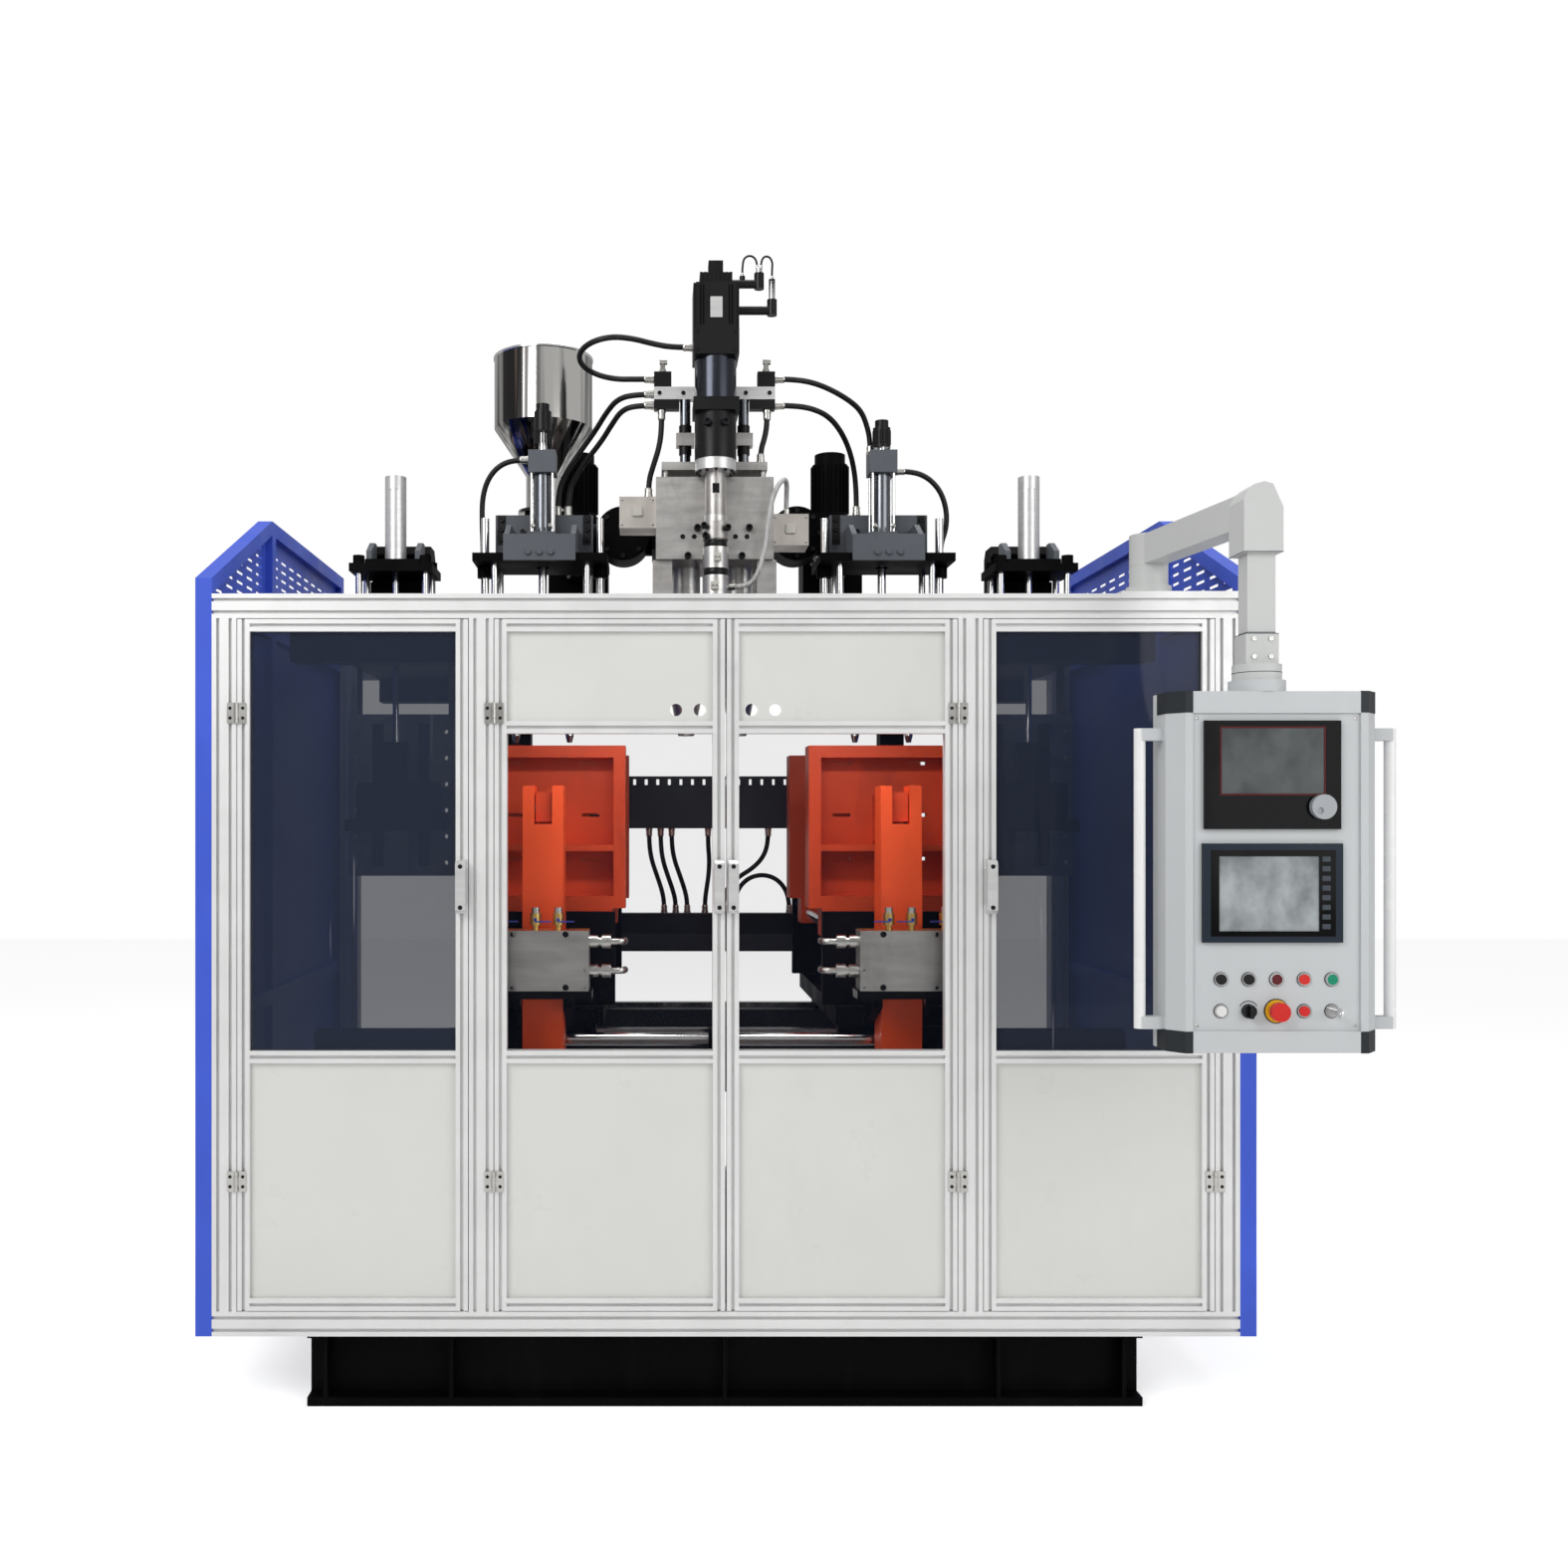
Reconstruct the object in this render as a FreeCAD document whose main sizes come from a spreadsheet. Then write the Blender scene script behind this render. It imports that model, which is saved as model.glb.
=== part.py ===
import FreeCAD, Part
import math
import os
import re
import Sketcher

# Double-station blow moulding machine. Millimetres, +Z up, +Y towards the back.
# The origin lies on the floor, under the middle of the base frame.

SIZES = {
    # base frame of I beams
    "base_width": 2060,
    "base_margin": 10,
    "base_height": 190,
    "flange": 100,
    "flange_plate": 22,
    "web": 12,
    "rib_plate": 10,
    "rib_inner": 675,
    "rib_outer": 985,
    # guard of slotted aluminium profiles
    "guard_side_gap": 85,
    "guard_overhang": 50,
    "guard_height": 1806,
    "beam": 60,
    "slot_spread": 15,
    "slot_mouth": 8.2,
    "slot_lip": 2,
    "slot_cavity": 16.5,
    "slot_floor": 9,
    "slot_depth": 9,
    # doors
    "stile": 30,
    "door_gap": 2,
    "mid_rail": 617,
    "upper_rail": 263,
    "sheet": 5,
    "sight_radius": 15,
    "sight_rise": 28,
    "sight_first": 31,
    "sight_second": 89,
    "handle_rise": 1032,
    "handle_length": 133,
    "handle_width": 24,
    "handle_reach": 32,
    "handle_grip": 12,
    "handle_foot": 22,
    "leaf_width": 22,
    "leaf_length": 50,
    "leaf_plate": 4,
    "knuckle": 5,
    "pin_radius": 2.5,
    "pin_play": 0.4,
    "hinge_drop": 229,
    "hinge_rise": 315,
    # blue side guards
    "tube": 40,
    "side_front_rise": 2034,
    "side_rear_rise": 2290,
    "side_slope": 560,
    "side_band": 1960,
    "side_mid": 930,
    "side_sheet": 3,
    "vent_length": 60,
    "vent_height": 8,
    "vent_pitch": 26,
    "vent_step": 92,
    # machine frame
    "clamp_y": 50,
    "column": 80,
    "column_x": 630,
    "column_reach": 600,
    "platform_bottom": 1850,
    "platform_top": 1950,
    "platform_width": 2200,
    "deck": 30,
    "rail_reach": 300,
    "rail_length": 1480,
    "rail_beam_bottom": 700,
    "rail_beam_height": 150,
    "rail_width": 30,
    "rail_height": 20,
    "traverse_reach": 460,
    "traverse_height": 862,
    "traverse_radius": 18,
    "traverse_length": 570,
    "traverse_barrel": 30,
    "barrel_length": 580,
    "bracket_half": 30,
    # clamping stations
    "station_x": 459,
    "bed_width": 300,
    "bed_reach": 470,
    "bed_bottom": 900,
    "bed_plate": 50,
    "platen_width": 412,
    "platen_height": 449,
    "platen_bottom": 1204,
    "platen_depth": 100,
    "platen_wall": 33,
    "platen_back": 28,
    "platen_face": 230,
    "platen_rib": 17,
    "platen_shelf": 125,
    "mould_slot": 50,
    "mould_slot_width": 10,
    "mould_slot_x": 107,
    "foot_width": 340,
    "guide_x": 140,
    "guide_radius": 20,
    "guide_height": 1160,
    "support_reach": 430,
    "support_plate": 30,
    "arm_reach": 560,
    "arm_width": 104,
    "arm_depth": 120,
    "arm_pivot": 1040,
    "arm_up": 440,
    "arm_down": 400,
    "arm_end": 54,
    "arm_waist_low": 90,
    "arm_waist_high": 200,
    "arm_taper_up": 12,
    "arm_taper_down": 20,
    "fork_gap": 46,
    "fork_depth": 98,
    "lug_width": 40,
    "lug_height": 76,
    "pivot_radius": 20,
    "link_pin": 12,
    "cheek_plate": 20,
    "clamp_radius": 50,
    "clamp_length": 560,
    "rod_radius": 20,
    "block_width": 244,
    "block_height": 150,
    "block_depth": 80,
    "block_bottom": 1021,
    "valve_radius": 14,
    "valve_length": 30,
    "nipple_radius": 8,
    "nipple_length": 12,
    "lever_length": 40,
    "pipe_nut": 16,
    "pipe_nut_length": 22,
    "pipe_bend": 20,
    "pipe_bore": 8,
    # blow and trim units
    "blow_x": 506,
    "unit_bottom": 2201,
    "blow_plate_width": 392,
    "blow_plate_depth": 240,
    "unit_plate": 24,
    "blow_rod_x": 172,
    "blow_rod_radius": 12,
    "blow_column_x": 135,
    "blow_column_y": 80,
    "bush_radius": 23,
    "bush_length": 30,
    "front_plate_width": 209,
    "front_plate_height": 76,
    "front_plate": 14,
    "gusset_x": 97,
    "gusset": 15,
    "gusset_front": 52,
    "gusset_back": 97,
    "back_plate_width": 295,
    "back_plate_height": 147,
    "back_plate": 20,
    "back_plate_y": 70,
    "cylinder_foot": 78,
    "cylinder_cap": 66,
    "tube_radius": 25,
    "tube_bore": 21.5,
    "tube_length": 176,
    "tie_offset": 31,
    "tie_radius": 4,
    "piston_rod": 12.5,
    "sensor_radius": 26,
    "sensor_length": 60,
    "column_radius": 10,
    "head_bottom": 1780,
    "pin_spread": 80,
    "blow_pin_radius": 12.5,
    "blow_pin_length": 100,
    "cylinder_side": 81,
    "trim_x": 945,
    "trim_plate_width": 243,
    "trim_column_x": 98,
    "trim_column_y": 60,
    "trim_collar": 17,
    "trim_base": 17,
    "trim_gusset_x": 72,
    "trim_gusset": 16,
    "trim_gusset_reach": 42,
    "trim_gusset_front": 27,
    "trim_gusset_back": 60,
    "housing_width": 180,
    "housing_start": 74,
    "housing_end": 190,
    "housing_shoulder": 40,
    "housing_top": 66,
    "trim_cylinder": 31.5,
    "trim_cylinder_length": 253,
    "trim_rod": 9,
    "trim_face_width": 320,
    "trim_face_bottom": 1279,
    "trim_face_height": 493,
    # die head and its drive
    "die_width": 337,
    "die_depth": 300,
    "die_offset": 30,
    "die_bottom": 2195,
    "die_height": 235,
    "die_body_x": 78,
    "die_body_radius": 42,
    "die_tip": 1700,
    "mandrel_radius": 37,
    "mandrel_gap": 3,
    "servo_side": 128,
    "servo_bottom": 2822,
    # extruders
    "hopper_x": -525,
    "hopper_wall": 2,
    "hopper_foot": 2420,
    "hopper_radius": 155,
    "hopper_bottom": 2690,
    "hopper_height": 225,
    "extruder_x": 430,
    "extruder_y": 330,
    "extruder_height": 2340,
    "extruder_radius": 62,
    "pipe_start": 180,
    "pipe_radius": 50,
    "filter_x": 270,
    "filter_radius": 84,
    "filter_depth": 130,
    "band_length": 60,
    "band_wall": 9,
    "feed_side": 110,
    "gear_width": 200,
    "gear_depth": 150,
    "gear_height": 260,
    "gear_chamfer": 30,
    "gear_flange": 22,
    "gear_flange_radius": 88,
    "motor_radius": 60,
    "motor_length": 180,
    # operator panel
    "arm_base_x": 1048,
    "arm_base_inset": 60,
    "swing_x": 1118,
    "swing_y": -1160,
    "boom_width": 60,
    "boom_depth": 72,
    "panel_offset": 20,
    "panel_width": 446,
    "panel_height": 763,
    "panel_depth": 110,
    "panel_top": 1715,
    "panel_edge": 46,
    "button_pitch": 58.5,
    "button_row": 67,
    "button_radius": 11,
    "bezel_radius": 14,
    "bezel_height": 3,
    # beams across the back, and the hydraulic manifold on the lower one
    "rear_beam": 60,
    "rear_packer": 15,
    "upper_beam_bottom": 1423,
    "upper_beam_height": 140,
    "cable_rail_height": 40,
    "lower_beam_bottom": 1000,
    "manifold_width": 640,
    "manifold_height": 70,
    # hoses and their ferrules
    "hose_radius": 8,
    "ferrule_radius": 12,
    "ferrule_length": 28,
    "cable_radius": 3,
    "loom_radius": 7,
    "loom_collar": 9,
}

# sizes that follow from others, as text that is put in wherever they are named
DERIVED = {
    "panel_x": "(swing_x + panel_offset)",
    "gear_y": "(clamp_y + column_reach + column / 2)",
    "base_depth": "(2 * (clamp_y + column_reach + column / 2 + base_margin))",
    "guard_depth": "(base_depth + 2 * guard_overhang)",
    "guard_width": "(2 * (trim_x + trim_face_width / 2 + guard_side_gap + beam))",
    "middle_post": "(guard_width / 4 - beam / 2)",
    "die_front": "(clamp_y - die_offset - die_depth / 2)",
    "drive_y": "(die_front - mandrel_radius - mandrel_gap)",
    "arm_base_y": "(arm_base_inset - guard_depth / 2)",
    "rear_y": "(clamp_y + column_reach + column / 2 + rear_packer + rear_beam / 2)",
}

doc = FreeCAD.newDocument("BlowMouldingMachine")
sheet = doc.addObject("Spreadsheet::Sheet", "Sizes")
for row, (name, value) in enumerate(SIZES.items(), start=1):
    sheet.set(f"A{row}", name)
    sheet.set(f"B{row}", str(value))
    sheet.setAlias(f"B{row}", name)
doc.recompute()

WORD = re.compile(r"[a-z_][a-z_0-9]*")
X_AXIS = FreeCAD.Rotation(FreeCAD.Vector(0, 1, 0), 90)
Y_AXIS = FreeCAD.Rotation(FreeCAD.Vector(1, 0, 0), -90)
NO_TURN = FreeCAD.Rotation()
PLANES = {
    "XY": NO_TURN,
    "YZ": FreeCAD.Rotation(FreeCAD.Vector(1, 1, 1), 120),
    "XZ": FreeCAD.Rotation(FreeCAD.Vector(1, 0, 0), 90),
}
NODES = []


def link(text):
    """An expression on the sheet's cells, from one that uses their plain names."""
    text = str(text)
    while any(word in DERIVED for word in WORD.findall(text)):
        text = WORD.sub(lambda word: DERIVED.get(word.group(), word.group()), text)
    return WORD.sub(
        lambda word: "Sizes." + word.group() if word.group() in SIZES else word.group(), text
    )


def bind(thing, **expressions):
    for name, text in expressions.items():
        thing.setExpression(name, link(text))
    return thing


def place(thing, at, turn=NO_TURN):
    thing.Placement = FreeCAD.Placement(FreeCAD.Vector(), turn)
    for axis, text in zip("xyz", at):
        thing.setExpression("Placement.Base." + axis, link(text))
    return thing


def box(size, at):
    """A box on its middle in X and Y and its underside in Z."""
    thing = bind(doc.addObject("Part::Box", "Box"), Length=size[0], Width=size[1], Height=size[2])
    corner = (f"{at[0]} - ({size[0]}) / 2", f"{at[1]} - ({size[1]}) / 2", at[2])
    return place(thing, corner)


def rod(radius, length, at, axis="Z"):
    """A cylinder: along Z from its underside, along X or Y about its middle."""
    thing = bind(doc.addObject("Part::Cylinder", "Rod"), Radius=radius, Height=length)
    if axis == "X":
        return place(thing, (f"{at[0]} - ({length}) / 2", at[1], at[2]), X_AXIS)
    if axis == "Y":
        return place(thing, (at[0], f"{at[1]} - ({length}) / 2", at[2]), Y_AXIS)
    return place(thing, at)


def taper(low, high, length, at):
    thing = doc.addObject("Part::Cone", "Taper")
    return place(bind(thing, Radius1=low, Radius2=high, Height=length), at)


def outline(points, plane, at):
    """A closed sketch whose corners are held by the sheet."""
    drawing = doc.addObject("Sketcher::SketchObject", "Outline")
    texts = [(link(a), link(b)) for a, b in points]
    corners = [
        FreeCAD.Vector(float(drawing.evalExpression(a)), float(drawing.evalExpression(b)), 0)
        for a, b in texts
    ]
    count = len(corners)
    drawing.addGeometry([Part.LineSegment(corners[n], corners[(n + 1) % count]) for n in range(count)])
    rules = [Sketcher.Constraint("Coincident", n, 2, (n + 1) % count, 1) for n in range(count)]
    for n, corner in enumerate(corners):
        rules.append(Sketcher.Constraint("DistanceX", -1, 1, n, 1, corner.x))
        rules.append(Sketcher.Constraint("DistanceY", -1, 1, n, 1, corner.y))
    drawing.addConstraint(rules)
    for n, (across, up) in enumerate(texts):
        drawing.setExpression(f"Constraints[{count + 2 * n}]", across)
        drawing.setExpression(f"Constraints[{count + 2 * n + 1}]", up)
    return place(drawing, at, PLANES[plane])


def prism(points, plane, depth, middle):
    """A flat outline in a plane, given depth about the middle, or upwards from it in XY."""
    at = {
        "XY": ("0", "0", middle),
        "YZ": (f"{middle} - ({depth}) / 2", "0", "0"),
        "XZ": ("0", f"{middle} + ({depth}) / 2", "0"),
    }[plane]
    thing = doc.addObject("Part::Extrusion", "Prism")
    thing.Base = outline(points, plane, at)
    thing.DirMode = "Normal"
    thing.Solid = True
    return bind(thing, LengthFwd=depth)


def turned(points, at):
    """A profile of radius and height, turned about the upright axis through a point."""
    thing = doc.addObject("Part::Revolution", "Turned")
    thing.Source = outline(points, "XZ", at)
    thing.Axis = FreeCAD.Vector(0, 0, 1)
    thing.Solid = True
    return bind(thing, **{"Base.x": at[0], "Base.y": at[1], "Base.z": at[2]})


def fuse(*parts):
    if len(parts) == 1:
        return parts[0]
    thing = doc.addObject("Part::MultiFuse", "Joined")
    thing.Shapes = list(parts)
    thing.Refine = True
    return thing


def cut(base, *tools):
    thing = doc.addObject("Part::Cut", "Cut")
    thing.Base = base
    thing.Tool = fuse(*tools)
    return thing


def node(label, *solids):
    """One named sub-part: a single solid, or several that stay apart."""
    if len(solids) == 1:
        whole = solids[0]
    else:
        whole = doc.addObject("Part::Compound", "Group")
        whole.Links = list(solids)
    whole.Label = label
    NODES.append(whole)
    return whole


# slotted profiles ------------------------------------------------------------


def slotted_corners(half, centres):
    """Corners of a square profile with T slots at the same places on all four faces."""
    bottom = []
    steps = [
        ("slot_mouth", "0"), ("slot_mouth", "slot_lip"), ("slot_cavity", "slot_lip"),
        ("slot_floor", "slot_depth")
    ]
    for c in centres:
        bottom += [(f"{c} - {width} / 2", f"{depth} - {half}") for width, depth in steps]
        bottom += [(f"{c} + {width} / 2", f"{depth} - {half}") for width, depth in reversed(steps)]
    bottom.append((half, f"-({half})"))
    corners = []
    for _ in range(4):
        corners += bottom
        bottom = [(f"-({b})", a) for a, b in bottom]
    return corners


def profile(section, length, at, axis):
    """A length of slotted profile, on its middle across and along X or Y, upwards along Z."""
    start, turn = {
        "X": ((f"{at[0]} - ({length}) / 2", at[1], at[2]), PLANES["YZ"]),
        "Y": ((at[0], f"{at[1]} + ({length}) / 2", at[2]), PLANES["XZ"]),
        "Z": (at, NO_TURN),
    }[axis]
    thing = doc.addObject("Part::Extrusion", "Profile")
    thing.Base = section
    thing.DirMode = "Custom"
    thing.Dir = FreeCAD.Vector(0, 0, 1)
    thing.Solid = True
    return place(bind(thing, LengthFwd=length), start, turn)


ORIGIN = ("0", "0", "0")
SMALL_SECTION = outline(slotted_corners("stile / 2", ["0"]), "XY", ORIGIN)
LARGE_SECTION = outline(slotted_corners("beam / 2", ["-slot_spread", "slot_spread"]), "XY", ORIGIN)

FRONT = "-guard_depth / 2"
GUARD_TOP = "(base_height + guard_height)"
DOOR_BOTTOM = "(base_height + beam + door_gap)"
DOOR_HEIGHT = "(guard_height - 2 * beam - 2 * door_gap)"
DOOR_WIDTH = "(middle_post - beam / 2 - 2 * door_gap)"
DOOR_Y = "(stile / 2 - guard_depth / 2)"


# base frame ------------------------------------------------------------------


def beam_outline(middle):
    """Corners of an I beam that stands on the floor, about a middle line."""
    half, thin, top = "flange / 2", "web / 2", "base_height"
    low, high = "flange_plate", "base_height - flange_plate"
    right = [(half, "0"), (half, low), (thin, low), (thin, high), (half, high), (half, top)]
    left = [(f"-({a})", b) for a, b in reversed(right)]
    return [(f"{middle} + {a}" if a[0] != "-" else f"{middle} {a}", b) for a, b in right + left]


def base_frame():
    edge = "(base_depth - flange) / 2"
    beams = [prism(beam_outline(f"{s} * {edge}"), "YZ", "base_width", "0") for s in (-1, 1)]
    for x in (
        "0", "-column_x", "column_x", "flange / 2 - base_width / 2", "base_width / 2 - flange / 2"
    ):
        beams.append(prism(beam_outline(x), "XZ", "base_depth - 2 * flange", "0"))
    depth = "(flange - web) / 2"
    size = ("rib_plate", depth, "base_height - 2 * flange_plate")
    for x in ("-rib_outer", "-rib_inner", "0", "rib_inner", "rib_outer"):
        beams.append(box(size, (x, f"{depth} / 2 - base_depth / 2", "flange_plate")))
    node("base_frame", *beams)


# guard frame -----------------------------------------------------------------


def fixed_hinge(x, z, side):
    """The leaf on the post and its pin; side is where the door lies."""
    y = f"({FRONT} - knuckle - 0.2)"
    leaf_x = f"{x} - {side} * (knuckle + 1 + (leaf_width - knuckle) / 2)"
    leaf_y = f"{FRONT} - leaf_plate / 2"
    leaf = box(("leaf_width - knuckle", "leaf_plate", "leaf_length"), (leaf_x, leaf_y, z))
    parts = [leaf, rod("pin_radius", "leaf_length", (x, y, z))]
    for foot in (z, f"{z} + leaf_length * 3 / 4"):
        parts.append(rod("knuckle", "leaf_length / 4", (x, y, foot)))
        tab = (f"{x} - {side} * (knuckle + 2) / 2", leaf_y, foot)
        parts.append(box(("knuckle + 2", "leaf_plate", "leaf_length / 4"), tab))
    return fuse(*parts)


def moving_hinge(x, z, side):
    y = f"({FRONT} - knuckle - 0.2)"
    leaf_x = f"{x} + {side} * (knuckle + 1 + (leaf_width - knuckle) / 2)"
    leaf_y = f"{FRONT} - leaf_plate / 2"
    leaf = box(("leaf_width - knuckle", "leaf_plate", "leaf_length"), (leaf_x, leaf_y, z))
    middle = f"{z} + leaf_length / 4 + pin_play"
    height = "leaf_length / 2 - 2 * pin_play"
    barrel = rod("knuckle", height, (x, y, middle))
    tab = box(
        ("knuckle + 2", "leaf_plate", height), (f"{x} + {side} * (knuckle + 2) / 2", leaf_y, middle)
    )
    bore = rod("pin_radius + pin_play", "leaf_length", (x, y, z))
    return cut(fuse(leaf, barrel, tab), bore)


DOORS = {
    # number: (left edge, hinge line, side of the hinge on which the door lies, upper panel)
    1: ("beam - guard_width / 2 + door_gap", "beam - guard_width / 2 + door_gap / 2", 1, False),
    2: ("beam / 2 - middle_post + door_gap", "beam / 2 - middle_post + door_gap / 2", 1, True),
    3: ("door_gap", "middle_post - beam / 2 - door_gap / 2", -1, True),
    4: ("middle_post + beam / 2 + door_gap", "guard_width / 2 - beam - door_gap / 2", -1, False),
}
HINGE_HEIGHTS = (
    f"{DOOR_BOTTOM} + hinge_rise - leaf_length / 2",
    f"{DOOR_BOTTOM} + {DOOR_HEIGHT} - hinge_drop - leaf_length / 2",
)


def guard_frame():
    low, high = "base_height + beam / 2", f"{GUARD_TOP} - beam / 2"
    span = "guard_height - 2 * beam"
    parts = []
    for y in ("beam / 2 - guard_depth / 2", "guard_depth / 2 - beam / 2"):
        for z in (low, high):
            parts.append(profile(LARGE_SECTION, "guard_width", ("0", y, z), "X"))
        for s in (-1, 1):
            x = f"{s} * (guard_width - beam) / 2"
            parts.append(profile(LARGE_SECTION, span, (x, y, "base_height + beam"), "Z"))
    for s in (-1, 1):
        x = f"{s} * middle_post"
        at = (x, "beam / 2 - guard_depth / 2", "base_height + beam")
        parts.append(profile(LARGE_SECTION, span, at, "Z"))
        side = (f"{s} * (guard_width - beam) / 2", "0", low)
        parts.append(profile(LARGE_SECTION, "guard_depth - 2 * beam", side, "Y"))
    leaves = [fixed_hinge(x, z, side) for _, x, side, _ in DOORS.values() for z in HINGE_HEIGHTS]
    node("guard_frame", *parts, *leaves)


# doors -----------------------------------------------------------------------


def door(number, left, hinge, side, upper):
    name = f"door_{number}"
    middle = f"({left} + {DOOR_WIDTH} / 2)"
    clear = f"{DOOR_WIDTH} - 2 * stile"
    mid = f"{DOOR_BOTTOM} + mid_rail"
    top = f"{DOOR_BOTTOM} + {DOOR_HEIGHT}"
    frame = []
    for s in (-1, 1):
        x = f"{middle} + {s} * ({DOOR_WIDTH} - stile) / 2"
        frame.append(profile(SMALL_SECTION, DOOR_HEIGHT, (x, DOOR_Y, DOOR_BOTTOM), "Z"))
    levels = [f"{DOOR_BOTTOM} + stile / 2", mid, f"{top} - stile / 2"]
    if upper:
        levels.append(f"{top} - upper_rail")
    for z in levels:
        frame.append(profile(SMALL_SECTION, clear, (middle, DOOR_Y, z), "X"))
    node(f"{name}_frame", *frame)

    def pane(low, high):
        size = (f"{clear} + 2 * slot_depth", "sheet", f"{high} - ({low}) + 2 * slot_depth")
        return box(size, (middle, DOOR_Y, f"{low} - slot_depth"))

    window_top = f"{top} - upper_rail - stile / 2" if upper else f"{top} - stile"
    node(f"{name}_window", pane(f"{mid} + stile / 2", window_top))
    panels = [pane(f"{DOOR_BOTTOM} + stile", f"{mid} - stile / 2")]
    if upper:
        sill = f"({top} - upper_rail + stile / 2)"
        inner = f"{hinge} + {side} * ({DOOR_WIDTH} + door_gap / 2 - stile"
        holes = []
        for offset in ("sight_first", "sight_second"):
            at = (f"{inner} - {offset})", DOOR_Y, f"{sill} + sight_rise")
            holes.append(rod("sight_radius", "3 * sheet", at, "Y"))
        panels.append(cut(pane(sill, f"{top} - stile"), *holes))
    node(f"{name}_panels", *panels)

    pull_x = f"{hinge} + {side} * ({DOOR_WIDTH} + door_gap / 2 - stile / 2)"
    z = f"({DOOR_BOTTOM} + handle_rise)"
    reach, half = f"{FRONT} - handle_reach", "handle_length / 2"
    pull = []
    for s in (-1, 1):
        end, inner = f"{z} + {s} * {half}", f"{z} + {s} * ({half} - handle_foot)"
        corners = [(FRONT, end), (f"{reach} + 8", f"{end} - {s} * 3"), (reach, f"{end} - {s} * 10")]
        corners += [(reach, inner), (FRONT, inner)]
        pull.append(prism(corners, "YZ", "handle_width", pull_x))
    grip_length = "handle_length - 2 * handle_foot"
    grip_at = (pull_x, f"{reach} + handle_grip / 2", f"{z} - ({grip_length}) / 2")
    pull.append(box(("handle_width", "handle_grip", grip_length), grip_at))
    leaves = [moving_hinge(hinge, foot, side) for foot in HINGE_HEIGHTS]
    node(f"{name}_fittings", *pull, *leaves)


# side guards -----------------------------------------------------------------


def side_guard(side):
    x = f"{side} * (guard_width + tube) / 2"
    half = "guard_depth / 2"
    bend = "(side_slope - guard_depth / 2)"
    back = f"{half} - tube"
    parts = []
    for y, top in (
        (f"tube / 2 - {half}", "side_front_rise - tube"), (f"{half} - tube / 2", "side_rear_rise - tube")
    ):
        parts.append(box(("tube", "tube", f"{top} - base_height"), (x, y, "base_height")))
    parts.append(
        box(
            ("tube", "tube", "side_rear_rise - tube - base_height"),
            (x, f"{bend} + tube / 2", "base_height")
        )
    )
    rail = [(f"-{half}", "side_front_rise"), (f"-{half}", "side_front_rise - tube")]
    rail += [(bend, "side_rear_rise - tube"), (half, "side_rear_rise - tube")]
    rail += [(half, "side_rear_rise"), (bend, "side_rear_rise")]
    parts.append(prism(rail, "YZ", "tube", x))
    bays = ((f"tube - {half}", bend), (f"{bend} + tube", back))
    for z in ("base_height", "side_mid", "side_band"):
        for start, end in bays:
            size = ("tube", f"{end} - ({start})", "tube")
            parts.append(box(size, (x, f"({start} + {end}) / 2", z)))
    for start, end in bays:
        middle, length = f"({start} + {end}) / 2", f"{end} - ({start})"
        low = "base_height + tube"
        parts.append(box(("side_sheet", length, f"side_mid - ({low})"), (x, middle, low)))
        low = "side_mid + tube"
        parts.append(box(("side_sheet", length, f"side_band - ({low})"), (x, middle, low)))
    low = "side_band + tube"
    slope = "(side_rear_rise - side_front_rise) / side_slope"
    start_rise = f"side_front_rise - tube + {slope} * tube"
    front = [
        (f"tube - {half}", low), (bend, low), (bend, "side_rear_rise - tube"),
        (f"tube - {half}", start_rise)
    ]
    sheet_front = prism(front, "YZ", "side_sheet", x)
    rear_start, rear_end = bays[1]
    length = f"{rear_end} - ({rear_start})"
    rear = box(
        ("side_sheet", length, f"side_rear_rise - tube - ({low})"),
        (x, f"({rear_start} + {rear_end}) / 2", low)
    )
    rear_vents, front_vents = [], []
    for row in range(8):
        z = f"{low} + {row + 1} * vent_pitch - vent_height"
        for column in range(9):
            y = f"{rear_start} + {column + 1} * vent_step - vent_step / 4"
            rear_vents.append(box(("5 * side_sheet", "vent_length", "vent_height"), (x, y, z)))
        for column in range(5 - row * 5 // 8):
            y = f"{bend} - {column + 1} * vent_step + vent_step / 4"
            front_vents.append(box(("5 * side_sheet", "vent_length", "vent_height"), (x, y, z)))
    parts += [cut(rear, *rear_vents), cut(sheet_front, *front_vents)]
    return parts


# machine frame ---------------------------------------------------------------


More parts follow.
